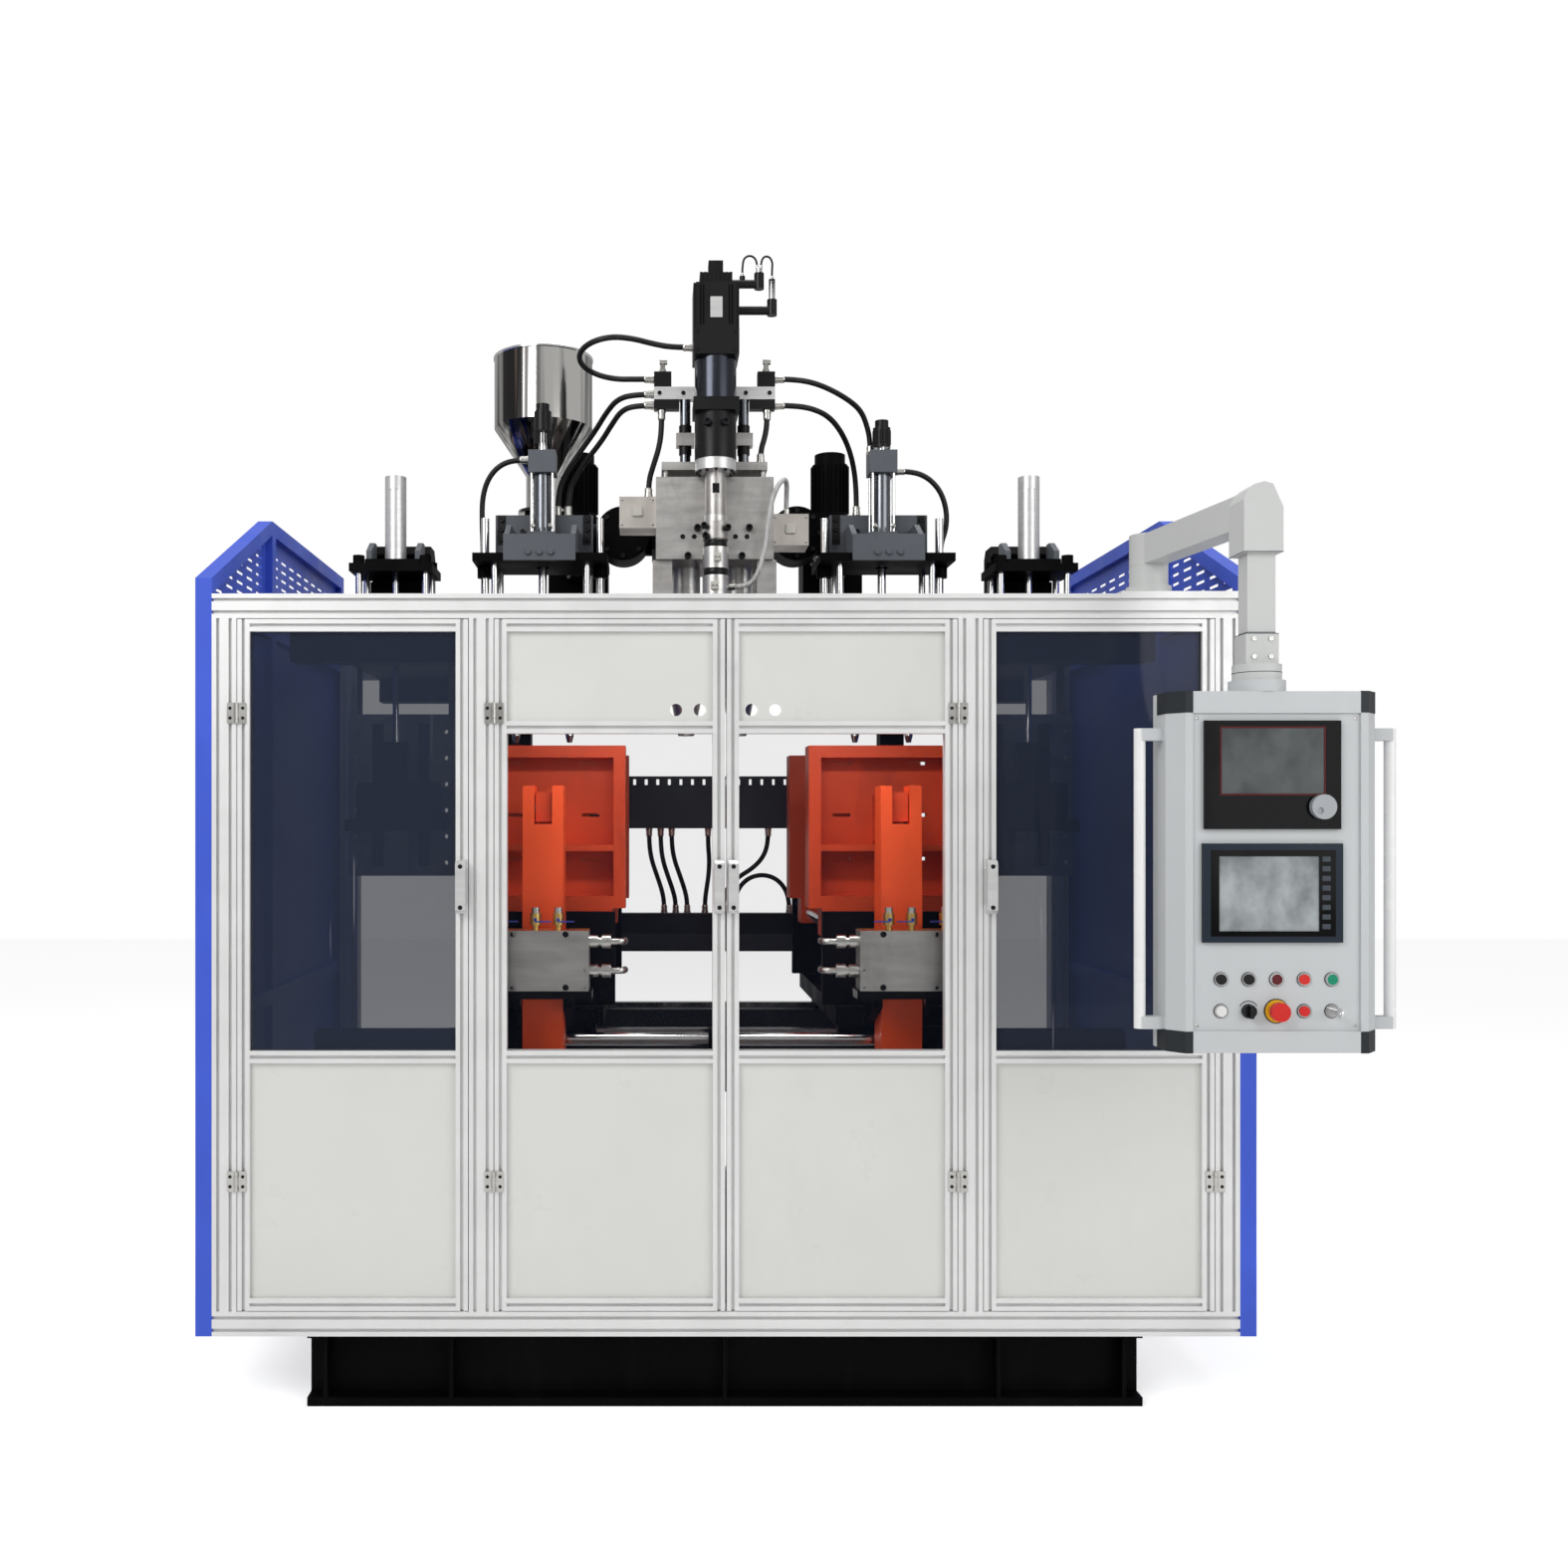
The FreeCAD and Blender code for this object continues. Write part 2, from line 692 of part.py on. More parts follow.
def machine_frame():
    parts = []
    front_y, rear_y = "clamp_y - column_reach", "clamp_y + column_reach"
    for s in (-1, 1):
        for y in (front_y, rear_y):
            size = ("column", "column", "platform_bottom - base_height")
            parts.append(box(size, (f"{s} * column_x", y, "base_height")))
        for t in (-1, 1):
            size = ("column", "column", "rail_beam_bottom - base_height")
            parts.append(box(size, (f"{s} * column_x", f"clamp_y + {t} * rail_reach", "base_height")))
    top = "rail_beam_bottom + rail_beam_height"
    for t in (-1, 1):
        y = f"clamp_y + {t} * rail_reach"
        parts.append(box(("rail_length", "column", "rail_beam_height"), ("0", y, "rail_beam_bottom")))
        parts.append(box(("rail_length", "rail_width", "rail_height"), ("0", y, top)))
    for y in (front_y, rear_y):
        size = ("platform_width", "column", "platform_top - platform_bottom")
        parts.append(box(size, ("0", y, "platform_bottom")))
    span = "2 * column_reach - column"
    deck_z = "platform_top - deck"
    # the middle of the deck lies round the well of the die head
    well_x, well_y = "(die_body_x + die_body_radius + 10)", "(die_body_radius + 38)"
    for s in (-1, 1):
        width = f"200 - {well_x}"
        parts.append(box((width, span, "deck"), (f"{s} * (200 + {well_x}) / 2", "clamp_y", deck_z)))
        size = (f"2 * {well_x}", f"({span}) / 2 - {well_y}", "deck")
        parts.append(box(size, ("0", f"clamp_y + {s} * (({span}) / 2 + {well_y}) / 2", deck_z)))
    for s in (-1, 1):
        x = f"{s} * blow_x"
        plate = box(("400", span, "deck"), (x, "clamp_y", deck_z))
        holes = [rod("rod_radius", "3 * deck", (x, "clamp_y", f"{deck_z} - deck"))]
        for t in (-1, 1):
            at = (f"{x} + {t} * blow_rod_x", "clamp_y", f"{deck_z} - deck")
            holes.append(rod("blow_rod_radius + 1", "3 * deck", at))
        parts.append(cut(plate, *holes))
        x = f"{s} * trim_x"
        plate = box(("300", span, "deck"), (x, "clamp_y", deck_z))
        parts.append(cut(plate, rod("trim_rod + 2", "3 * deck", (x, "clamp_y", f"{deck_z} - deck"))))
    # centre bracket and the traverse rods that it holds
    y = "clamp_y - traverse_reach"
    arm_length = "traverse_reach - rail_reach - column / 2 + bracket_half"
    arm_y = f"{y} - bracket_half + ({arm_length}) / 2"
    low = "traverse_height - bracket_half"
    parts.append(
        box(("2 * bracket_half", arm_length, "bracket_half"), ("0", arm_y, f"{low} - bracket_half"))
    )
    parts.append(box(("2 * bracket_half", "2 * bracket_half", "2 * bracket_half"), ("0", y, low)))
    for s in (-1, 1):
        x = f"{s} * (bracket_half + traverse_length / 2)"
        parts.append(rod("traverse_radius", "traverse_length", (x, y, "traverse_height"), "X"))
    # beams across the back, on packers, with the cable rail and the manifold
    width = "2 * column_x + column"
    for low, height in (("lower_beam_bottom", "rear_beam"), ("upper_beam_bottom", "upper_beam_height")):
        parts.append(box((width, "rear_beam", height), ("0", "rear_y", low)))
        for s in (-1, 1):
            packer_y = "rear_y - rear_beam / 2 - rear_packer / 2"
            parts.append(box(("column", "rear_packer", height), (f"{s} * column_x", packer_y, low)))
    rail_z = "upper_beam_bottom + upper_beam_height"
    rail = box((width, "rear_beam / 3", "cable_rail_height"), ("0", "rear_y", rail_z))
    slots = []
    for n in range(-15, 16):
        at = (f"{n} * cable_rail_height", "rear_y", f"{rail_z} + cable_rail_height / 4")
        slots.append(box(("cable_rail_height / 4", "rear_beam", "cable_rail_height / 2"), at))
    parts.append(cut(rail, *slots))
    top = "lower_beam_bottom + rear_beam"
    parts.append(box(("manifold_width", "rear_beam", "manifold_height"), ("0", "rear_y", top)))
    for n in (-3, -2, -1, 1, 2, 3):
        at = (f"{n} * manifold_width / 7", "rear_y + rear_beam / 2 + 15", f"{top} + manifold_height / 2")
        parts.append(rod("22", "30", at, "Y"))
    node("machine_frame", *parts)


# clamping stations -----------------------------------------------------------


def carriage(label, x, side):
    parts = []
    bed_top = "bed_bottom + bed_plate"
    parts.append(box(("bed_width", "2 * bed_reach", "bed_plate"), (x, "clamp_y", "bed_bottom")))
    rail_top = "rail_beam_bottom + rail_beam_height"
    for t in (-1, 1):
        y = f"clamp_y + {t} * rail_reach"
        for u in (-1, 1):
            at = (f"{x} + {u} * bed_width / 4", y, f"{rail_top} + 2")
            shoe = box(("bed_width / 3", "column", f"bed_bottom - ({rail_top}) - 2"), at)
            at = (at[0], y, rail_top)
            way = box(("bed_width", "rail_width + 1", "rail_height + 0.5"), at)
            parts.append(cut(shoe, way))
        y = f"clamp_y + {t} * (support_reach - support_plate / 2)"
        height = f"guide_height + 2 * guide_radius - ({bed_top})"
        parts.append(box(("2 * guide_x + 80", "support_plate", height), (x, y, bed_top)))
    for u in (-1, 1):
        at = (f"{x} + {u} * guide_x", "clamp_y", "guide_height")
        parts.append(rod("guide_radius", "2 * support_reach - 2 * support_plate", at, "Y"))
    # cheeks that hold the arms' pivots, and the pivot pins
    gap = "(arm_width / 2 + 2)"
    for t in (-1, 1):
        near, far = f"clamp_y + {t} * bed_reach", f"clamp_y + {t} * (arm_reach + arm_depth / 2 + 30)"
        inner = f"clamp_y + {t} * support_reach"
        rise = "arm_pivot + 45"
        corners = [(inner, bed_top), (near, bed_top), (near, "bed_bottom"), (far, "bed_bottom + 70")]
        corners += [(far, rise), (f"{far} - {t} * 110", rise)]
        for u in (-1, 1):
            at_x = f"{x} + {u} * ({gap} + cheek_plate / 2)"
            parts.append(prism(corners, "YZ", "cheek_plate", at_x))
        pivot = (x, f"clamp_y + {t} * arm_reach", "arm_pivot")
        parts.append(rod("pivot_radius", f"2 * {gap}", pivot, "X"))
    # clamp cylinder under the bed
    z = "arm_pivot - arm_down"
    barrel = rod("clamp_radius", "clamp_length", (x, "clamp_y", z), "Y")
    parts.append(cut(barrel, rod("rod_radius + 0.5", "clamp_length + 20", (x, "clamp_y", z), "Y")))
    hanger = box(("90", "120", f"bed_bottom - ({z})"), (x, "clamp_y", z))
    parts.append(cut(hanger, rod("clamp_radius", "clamp_length", (x, "clamp_y", z), "Y")))
    # traverse barrel outside the station, open towards the middle
    y = "clamp_y - traverse_reach"
    mouth = "(station_x + 35)"
    middle = f"{side} * ({mouth} + barrel_length / 2)"
    tube = rod("traverse_barrel", "barrel_length", (middle, y, "traverse_height"), "X")
    bore_at = (f"{side} * ({mouth} + barrel_length / 2 - 5)", y, "traverse_height")
    parts.append(cut(tube, rod("traverse_radius + 1", "barrel_length", bore_at, "X")))
    rest = box(("80", "50", "40"), (f"{side} * ({mouth} + 60)", y, "bed_bottom - 40"))
    parts.append(cut(rest, rod("traverse_barrel", "barrel_length", (middle, y, "traverse_height"), "X")))
    node(label, *parts)


def platen(label, x, t):
    """A ribbed clamping plate on its foot; t is the side of the mould plane on which it stands."""
    outside = f"clamp_y + {t} * (platen_face + platen_depth)"
    middle = f"clamp_y + {t} * (platen_face + platen_depth / 2)"
    body = box(("platen_width", "platen_depth", "platen_height"), (x, middle, "platen_bottom"))
    pocket_width = "platen_width - 2 * platen_wall"
    pocket_depth = "(platen_depth - platen_back)"
    pocket_y = f"{outside} - {t} * {pocket_depth} / 2"
    low = "platen_bottom + platen_wall"
    cuts = [box((pocket_width, pocket_depth, "platen_shelf"), (x, pocket_y, low))]
    cuts.append(box((
        pocket_width, pocket_depth, "platen_height - 2 * platen_wall - platen_shelf - platen_rib"
    ),
                    (x, pocket_y, f"{low} + platen_shelf + platen_rib")))
    back_y = f"clamp_y + {t} * (platen_face + platen_back / 2)"
    for u in (-1, 1):
        for rise in ("130", "253", "398"):
            size = ("mould_slot", "platen_back + 10", "mould_slot_width")
            cuts.append(box(size, (f"{x} + {u} * mould_slot_x", back_y, f"platen_bottom + {rise}")))
    # lug that reaches into the arm's fork, with a slotted hole for the arm's pin
    lug_top, reach = "arm_pivot + arm_up + lug_height / 2", f"clamp_y + {t} * (arm_reach + 34)"
    root = f"clamp_y + {t} * (platen_face + platen_back)"
    corners = [
        (root, "arm_pivot + arm_up - lug_height - 24"),
        (f"clamp_y + {t} * (arm_reach - 90)", "arm_pivot + arm_up - lug_height / 2")
    ]
    corners += [(reach, "arm_pivot + arm_up - lug_height / 2"), (reach, lug_top), (root, lug_top)]
    lug = prism(corners, "YZ", "lug_width", x)
    eye = f"clamp_y + {t} * arm_reach"
    slot = box(
        ("2 * lug_width", "2 * link_pin + 5", "2 * link_pin + 26"),
        (x, eye, "arm_pivot + arm_up - link_pin - 20")
    )
    foot_height = "(platen_bottom - guide_height + guide_radius + 14)"
    foot = box(
        ("foot_width", "platen_depth", foot_height), (x, middle, "platen_bottom - " + foot_height)
    )
    bores = [
        rod("guide_radius + 0.5", "2 * platen_depth", (f"{x} + {u} * guide_x", middle, "guide_height"), "Y")
        for u in (-1, 1)
    ]
    node(label, cut(body, *cuts), cut(lug, slot), cut(foot, *bores))


def lever_arm(label, x, t):
    """An upright arm with a fork at each end, a bored middle and a pin through each fork."""
    y = f"clamp_y + {t} * arm_reach"
    foot, top = "arm_pivot - arm_down - arm_end", "arm_pivot + arm_up + arm_end"
    half = "arm_depth / 2"
    corners = [
        (f"{y} - {half}", "arm_pivot - arm_waist_low"), (f"{y} - {half}", "arm_pivot + arm_waist_high"),
        (f"{y} - {half} + arm_taper_up", top)
    ]
    corners += [
        (f"{y} + {half} - arm_taper_up", top), (f"{y} + {half}", "arm_pivot + arm_waist_high"),
        (f"{y} + {half}", "arm_pivot - arm_waist_low")
    ]
    corners += [(f"{y} + {half} - arm_taper_down", foot), (f"{y} - {half} + arm_taper_down", foot)]
    body = prism(corners, "YZ", "arm_width", x)
    cuts = [rod("pivot_radius + 0.5", "2 * arm_width", (x, y, "arm_pivot"), "X")]
    size = ("fork_gap", "2 * arm_depth", "fork_depth + arm_end")
    cuts.append(box(size, (x, y, "arm_pivot + arm_up + arm_end - fork_depth")))
    cuts.append(box(size, (x, y, "arm_pivot - arm_down - 2 * arm_end + 16")))
    parts = [cut(body, *cuts)]
    for z in ("arm_pivot + arm_up", "arm_pivot - arm_down"):
        parts.append(rod("link_pin", "fork_gap", (x, y, z), "X"))
    node(label, *parts)


def clamp_rod(label, x, t):
    z = "arm_pivot - arm_down"
    start = "120"
    end = "(arm_reach - 40)"
    shank = rod("rod_radius", f"{end} - {start}", (x, f"clamp_y + {t} * ({end} + {start}) / 2", z), "Y")
    eye = box(("lug_width", "80", "76"), (x, f"clamp_y + {t} * arm_reach", f"{z} - 36"))
    slot_at = (x, f"clamp_y + {t} * arm_reach", f"{z} - link_pin - 8")
    slot = box(("2 * lug_width", "2 * link_pin + 5", "2 * link_pin + 26"), slot_at)
    node(label, cut(fuse(shank, eye), slot))


def valve_block(label, x, side):
    """Hydraulic block on the front cheeks, with three ball valves and two pipe elbows."""
    y = "clamp_y - (arm_reach + arm_depth / 2 + 30) - block_depth / 2"
    front = f"{y} - block_depth / 2"
    body = box(("block_width", "block_depth", "block_height"), (x, y, "block_bottom"))
    holes = []
    for u in (-1, 1):
        for rise in ("9", "block_height - 9"):
            at = (f"{x} + {u} * 65", front, f"block_bottom + {rise}")
            holes.append(rod("8", "24", at, "Y"))
        for rise in ("9", "52"):
            at = (f"{x} + {u} * 113", front, f"block_bottom + {rise}")
            holes.append(rod("3.5", "16", at, "Y"))
    parts = [cut(body, *holes)]
    top = "block_bottom + block_height"
    inner = -side
    for offset in ("-95", "-12", "45"):
        at_x = f"{x} + {inner} * {offset}"
        nipple = rod("nipple_radius", "nipple_length", (at_x, y, top))
        valve = rod("valve_radius", "valve_length", (at_x, y, f"{top} + nipple_length"))
        cap = rod("10", "14", (at_x, y, f"{top} + nipple_length + valve_length"))
        bar = box(
            ("lever_length", "12", "3"),
            (f"{at_x} + {inner} * lever_length / 2", f"{y} - 21", f"{top} + 20")
        )
        stem = rod("4", "14", (at_x, f"{y} - 17", f"{top} + 26"), "Y")
        parts.append(fuse(nipple, valve, cap, bar, stem))
    edge = f"{x} + {inner} * block_width / 2"
    for rise in ("52", "125"):
        z = f"block_bottom + {rise} - 5"
        nut = rod("pipe_nut", "pipe_nut_length", (f"{edge} + {inner} * pipe_nut_length / 2", y, z), "X")
        neck = rod("11", "10", (f"{edge} + {inner} * 27", y, z), "X")
        second = rod("17", "22", (f"{edge} + {inner} * 43", y, z), "X")
        pipe = rod("pipe_bore", "15", (f"{edge} + {inner} * 61.5", y, z), "X")
        bend = bind(
            doc.addObject("Part::Torus", "Bend"), Radius1="pipe_bend", Radius2="pipe_bore", Angle3="90"
        )
        start = -90 if inner > 0 else 180
        turn = FreeCAD.Rotation(FreeCAD.Vector(0, 0, 1), start)
        place(bend, (f"{edge} + {inner} * 69", f"{y} + pipe_bend", z), turn)
        tail = rod("pipe_bore", "16", (f"{edge} + {inner} * 89", f"{y} + 28", z), "Y")
        parts.append(fuse(nut, neck, second, pipe, bend, tail))
    base = box(("block_width + 16", "block_depth", "20"), (x, y, "block_bottom - 20"))
    parts.append(base)
    node(label, *parts)


def station(name, side):
    x = f"{side} * station_x"
    carriage(f"{name}_carriage", x, side)
    for place_name, t in (("front", -1), ("rear", 1)):
        platen(f"{name}_{place_name}_platen", x, t)
        lever_arm(f"{name}_{place_name}_arm", x, t)
        clamp_rod(f"{name}_{place_name}_clamp_rod", x, t)
    valve_block(f"{name}_valve_block", x, side)


# blow units ------------------------------------------------------------------


def blow_unit(x, rise):
    """Fixed part of a blow unit: columns, plate, bracket and cylinder."""
    y, parts = "clamp_y", []
    plate_top = "unit_bottom + unit_plate"
    for u in (-1, 1):
        for t in (-1, 1):
            at = (f"{x} + {u} * blow_column_x", f"{y} + {t} * blow_column_y", "platform_top")
            parts.append(rod("column_radius", "unit_bottom - platform_top", at))
    plate = box(("blow_plate_width", "blow_plate_depth", "unit_plate"), (x, y, "unit_bottom"))
    holes = [rod("rod_radius", "3 * unit_plate", (x, y, "unit_bottom - unit_plate"))]
    for u in (-1, 1):
        at = (f"{x} + {u} * blow_rod_x", y, "unit_bottom - 2 * unit_plate")
        holes.append(rod("blow_rod_radius + 0.5", "4 * unit_plate", at))
        parts.append(
            cut(
                rod("bush_radius", "bush_length", (at[0], y, "unit_bottom - bush_length")),
                rod("blow_rod_radius + 0.5", "40", (at[0], y, "unit_bottom - bush_length - 5"))
            )
        )
    parts.append(cut(plate, *holes))
    front = f"{y} - blow_plate_depth / 2"
    parts.append(box(
        ("front_plate_width", "front_plate", "front_plate_height"),
        (x, f"{front} - front_plate / 2", "unit_bottom")
    ))
    for u in (-1, 1):
        side = [
            (front, plate_top),
            (front, f"{plate_top} + gusset_front"),
            (f"{y} - 40", f"{plate_top} + gusset_back"),
            (f"{y} + back_plate_y - back_plate / 2", f"{plate_top} + gusset_back"),
            (f"{y} + back_plate_y - back_plate / 2", plate_top)
        ]
        parts.append(prism(side, "YZ", "gusset", f"{x} + {u} * gusset_x"))
    parts.append(box(
        ("back_plate_width", "back_plate", "back_plate_height"), (x, f"{y} + back_plate_y", plate_top)
    ))
    head = box(("cylinder_side", "cylinder_side", "cylinder_foot"), (x, y, plate_top))
    parts.append(cut(head, rod("rod_radius - 6", "90", (x, y, plate_top))))
    low, length = f"{plate_top} + cylinder_foot", "tube_length"
    parts.append(cut(rod("tube_radius", length, (x, y, low)), rod("tube_bore", length, (x, y, low))))
    for u in (-1, 1):
        for t in (-1, 1):
            parts.append(
                rod("tie_radius", length, (f"{x} + {u} * tie_offset", f"{y} + {t} * tie_offset", low))
            )
    high = f"{low} + {length}"
    parts.append(box(("cylinder_side", "cylinder_side", "cylinder_cap"), (x, y, high)))
    parts.append(rod("piston_rod", rise, (x, y, f"{high} + cylinder_cap")))
    parts.append(rod("sensor_radius", "sensor_length", (x, y, f"{high} + cylinder_cap + {rise}")))
    parts.append(rod("20", "22", (x, y, f"{high} + cylinder_cap + sensor_length + {rise}")))
    return parts


def blow_head(label, x):
    """Moving part: plate, guide rods, piston rod and two blow pins."""
    y, top = "clamp_y", "head_bottom + deck"
    parts = [box(("2 * blow_rod_x + 56", "160", "deck"), (x, y, "head_bottom"))]
    for u in (-1, 1):
        at_x = f"{x} + {u} * blow_rod_x"
        parts.append(rod("blow_rod_radius", f"2348 - ({top})", (at_x, y, top)))
        at_x = f"{x} + {u} * pin_spread"
        pin = rod(
            "blow_pin_radius", "blow_pin_length - 20", (at_x, y, "head_bottom - blow_pin_length + 20")
        )
        tip = taper(
            "blow_pin_radius - 5", "blow_pin_radius", "20", (at_x, y, "head_bottom - blow_pin_length")
        )
        parts.append(fuse(pin, tip))
    rod_top = "unit_bottom + unit_plate + cylinder_foot + tube_length - 10"
    shaft = rod("piston_rod", f"{rod_top} - ({top})", (x, y, top))
    parts.append(fuse(shaft, rod("21", "20", (x, y, f"{rod_top} - 20"))))
    node(label, *parts)


# trim units ------------------------------------------------------------------


def trim_unit(x):
    y, parts = "clamp_y", []
    for u in (-1, 1):
        for t in (-1, 1):
            at = (f"{x} + {u} * trim_column_x", f"{y} + {t} * trim_column_y", "platform_top")
            parts.append(rod("column_radius", "unit_bottom - unit_plate - platform_top", at))
            parts.append(rod("trim_collar", "26", (at[0], at[1], "unit_bottom")))
    plate = box(("trim_plate_width", "180", "unit_plate"), (x, y, "unit_bottom - unit_plate"))
    parts.append(
        cut(plate, rod("trim_rod + 2", "3 * unit_plate", (x, y, "unit_bottom - 2 * unit_plate")))
    )
    base = box(("164", "2 * trim_column_y", "trim_base"), (x, f"{y}", "unit_bottom"))
    relief = [rod(
        "18", "40", (f"{x} + {u} * trim_column_x", f"{y} + {t} * trim_column_y", "unit_bottom - 5")
    )
              for u in (-1, 1) for t in (-1, 1)]
    parts.append(cut(base, rod("trim_rod + 2", "60", (x, y, "unit_bottom - 10")), *relief))
    top = "unit_bottom + trim_base"
    for u in (-1, 1):
        side = [
            (f"{y} - trim_gusset_reach", top),
            (f"{y} - trim_gusset_reach", f"{top} + trim_gusset_front"),
            (f"{y} + 10", f"{top} + trim_gusset_back"),
            (f"{y} + trim_gusset_reach", f"{top} + trim_gusset_back"),
            (f"{y} + trim_gusset_reach", top)
        ]
        parts.append(prism(side, "YZ", "trim_gusset", f"{x} + {u} * trim_gusset_x"))
    barrel = rod("trim_cylinder", "trim_cylinder_length", (x, y, top))
    grooves = [
        box(("5", "10", "trim_cylinder_length - 40"), (f"{x} + {u} * 9", f"{y} - trim_cylinder", top))
        for u in (-1, 1)
    ]
    bore = rod("trim_rod + 1", "trim_cylinder_length - 30", (x, y, top))
    parts.append(cut(barrel, bore, *grooves))
    housing = [
        (f"{y} + housing_start", "platform_top"),
        (f"{y} + housing_start", f"{top} + housing_shoulder"),
        (f"{y} + housing_start + 21", f"{top} + housing_top"),
        (f"{y} + housing_end - 20", f"{top} + housing_top"),
        (f"{y} + housing_end", f"{top} + housing_shoulder"),
        (f"{y} + housing_end", "platform_top")
    ]
    parts.append(
        cut(
            prism(housing, "YZ", "housing_width", f"{x}"),
            box(("200", "60", "80"), (x, f"{y} + 70", "unit_bottom - unit_plate - 5"))
        )
    )
    # drilled back plate below the deck, hung from it by two side plates
    low, high = "trim_face_bottom", "platform_top - deck"
    face_y = f"{y} + 110"
    face = box(("trim_face_width", "30", "trim_face_height"), (x, face_y, low))
    holes = []
    for u in (-1, 1):
        for n in range(6):
            at = (f"{x} + {u} * (trim_face_width / 2 - 24)", face_y, f"{low} + 40 + {n} * 80")
            holes.append(rod("7", "60", at, "Y"))
    parts.append(cut(face, *holes))
    for u in (-1, 1):
        at = (f"{x} + {u} * (trim_face_width / 2 - 10)", f"{face_y} + 55", low)
        parts.append(box(("20", "80", f"{high} - {low}"), at))
        rail = (f"{x} + {u} * 70", f"{face_y} - 22", f"{low} + 30")
        parts.append(box(("30", "14", "trim_face_height - 60"), rail))
    return parts


def trim_head(label, x):
    y = "clamp_y"
    plate_y, low = f"{y} + 48", "1450"
    body = box(("240", "70", "110"), (x, plate_y, low))
    ways = [
        box(("31", "40", "200"), (f"{x} + {u} * 70", f"{y} + 100.5", f"{low} - 40")) for u in (-1, 1)
    ]
    slide = cut(body, *ways)
    stem = box(("70", "50", "120"), (x, y, f"{low} + 110"))
    jaw = box(("300", "60", "34"), (x, f"{y} + 20", f"{low} - 34"))
    shaft = rod("trim_rod", f"unit_bottom + 200 - ({low} + 230)", (x, y, f"{low} + 230"))
    tongue = box(("70", "40", "120"), (x, f"{y} + 35", f"{low} - 154"))
    node(label, fuse(slide, stem, shaft, jaw, tongue))


# die head --------------------------------------------------------------------


def die_head():
    y, parts = "clamp_y", []
    block_y, front = f"{y} - die_offset", "die_front"
    body = box(("die_width", "die_depth", "die_height"), ("0", block_y, "die_bottom"))
    holes = []
    for u in (-1, 1):
        for offset in ("59", "92"):
            holes.append(rod("7", "20", (f"{u} * {offset}", front, "die_bottom + 64"), "Y"))
    parts.append(cut(body, *holes))
    for u in (-1, 1):
        for t in (-1, 1):
            at = (f"{u} * 140", f"{block_y} + {t} * 110", "die_bottom + die_height")
            parts.append(rod("9", "25", at))
        at = (f"{u} * die_body_x", y, "die_tip + 90")
        bodies = [rod("die_body_radius", "die_bottom - die_tip - 90", at)]
        bodies.append(taper("die_body_radius - 18", "die_body_radius", "90", (at[0], y, "die_tip")))
        parts.append(fuse(*bodies))
        for t in (-1, 1):
            at = (f"{u} * 150", f"{block_y} + {t} * 110", "platform_top")
            parts.append(box(("56", "40", "die_bottom - platform_top"), at))
        box_x = f"{u} * (die_width / 2 + 53)"
        box_low = f"die_bottom + 75 - {u} * 25"
        parts.append(box(("106", "110", "91"), (box_x, f"{block_y} - 40", box_low)))
    parts.append(box(("304", "260", "23"), ("0", block_y, "die_bottom + die_height + 25")))
    # mandrel with heater bands in front of the block
    profile_points = [("0", "0"), ("mandrel_radius - 5", "0")]
    for n in range(3):
        z = 48 + 80 * n
        profile_points += [("mandrel_radius - 5", f"{z}"), ("mandrel_radius", f"{z}")]
        profile_points += [("mandrel_radius", f"{z + 60}"), ("mandrel_radius - 5", f"{z + 60}")]
    profile_points += [("mandrel_radius - 5", "358"), ("0", "358")]
    parts.append(turned(profile_points, ("0", "drive_y", "platform_top")))
    node("die_head", *parts)


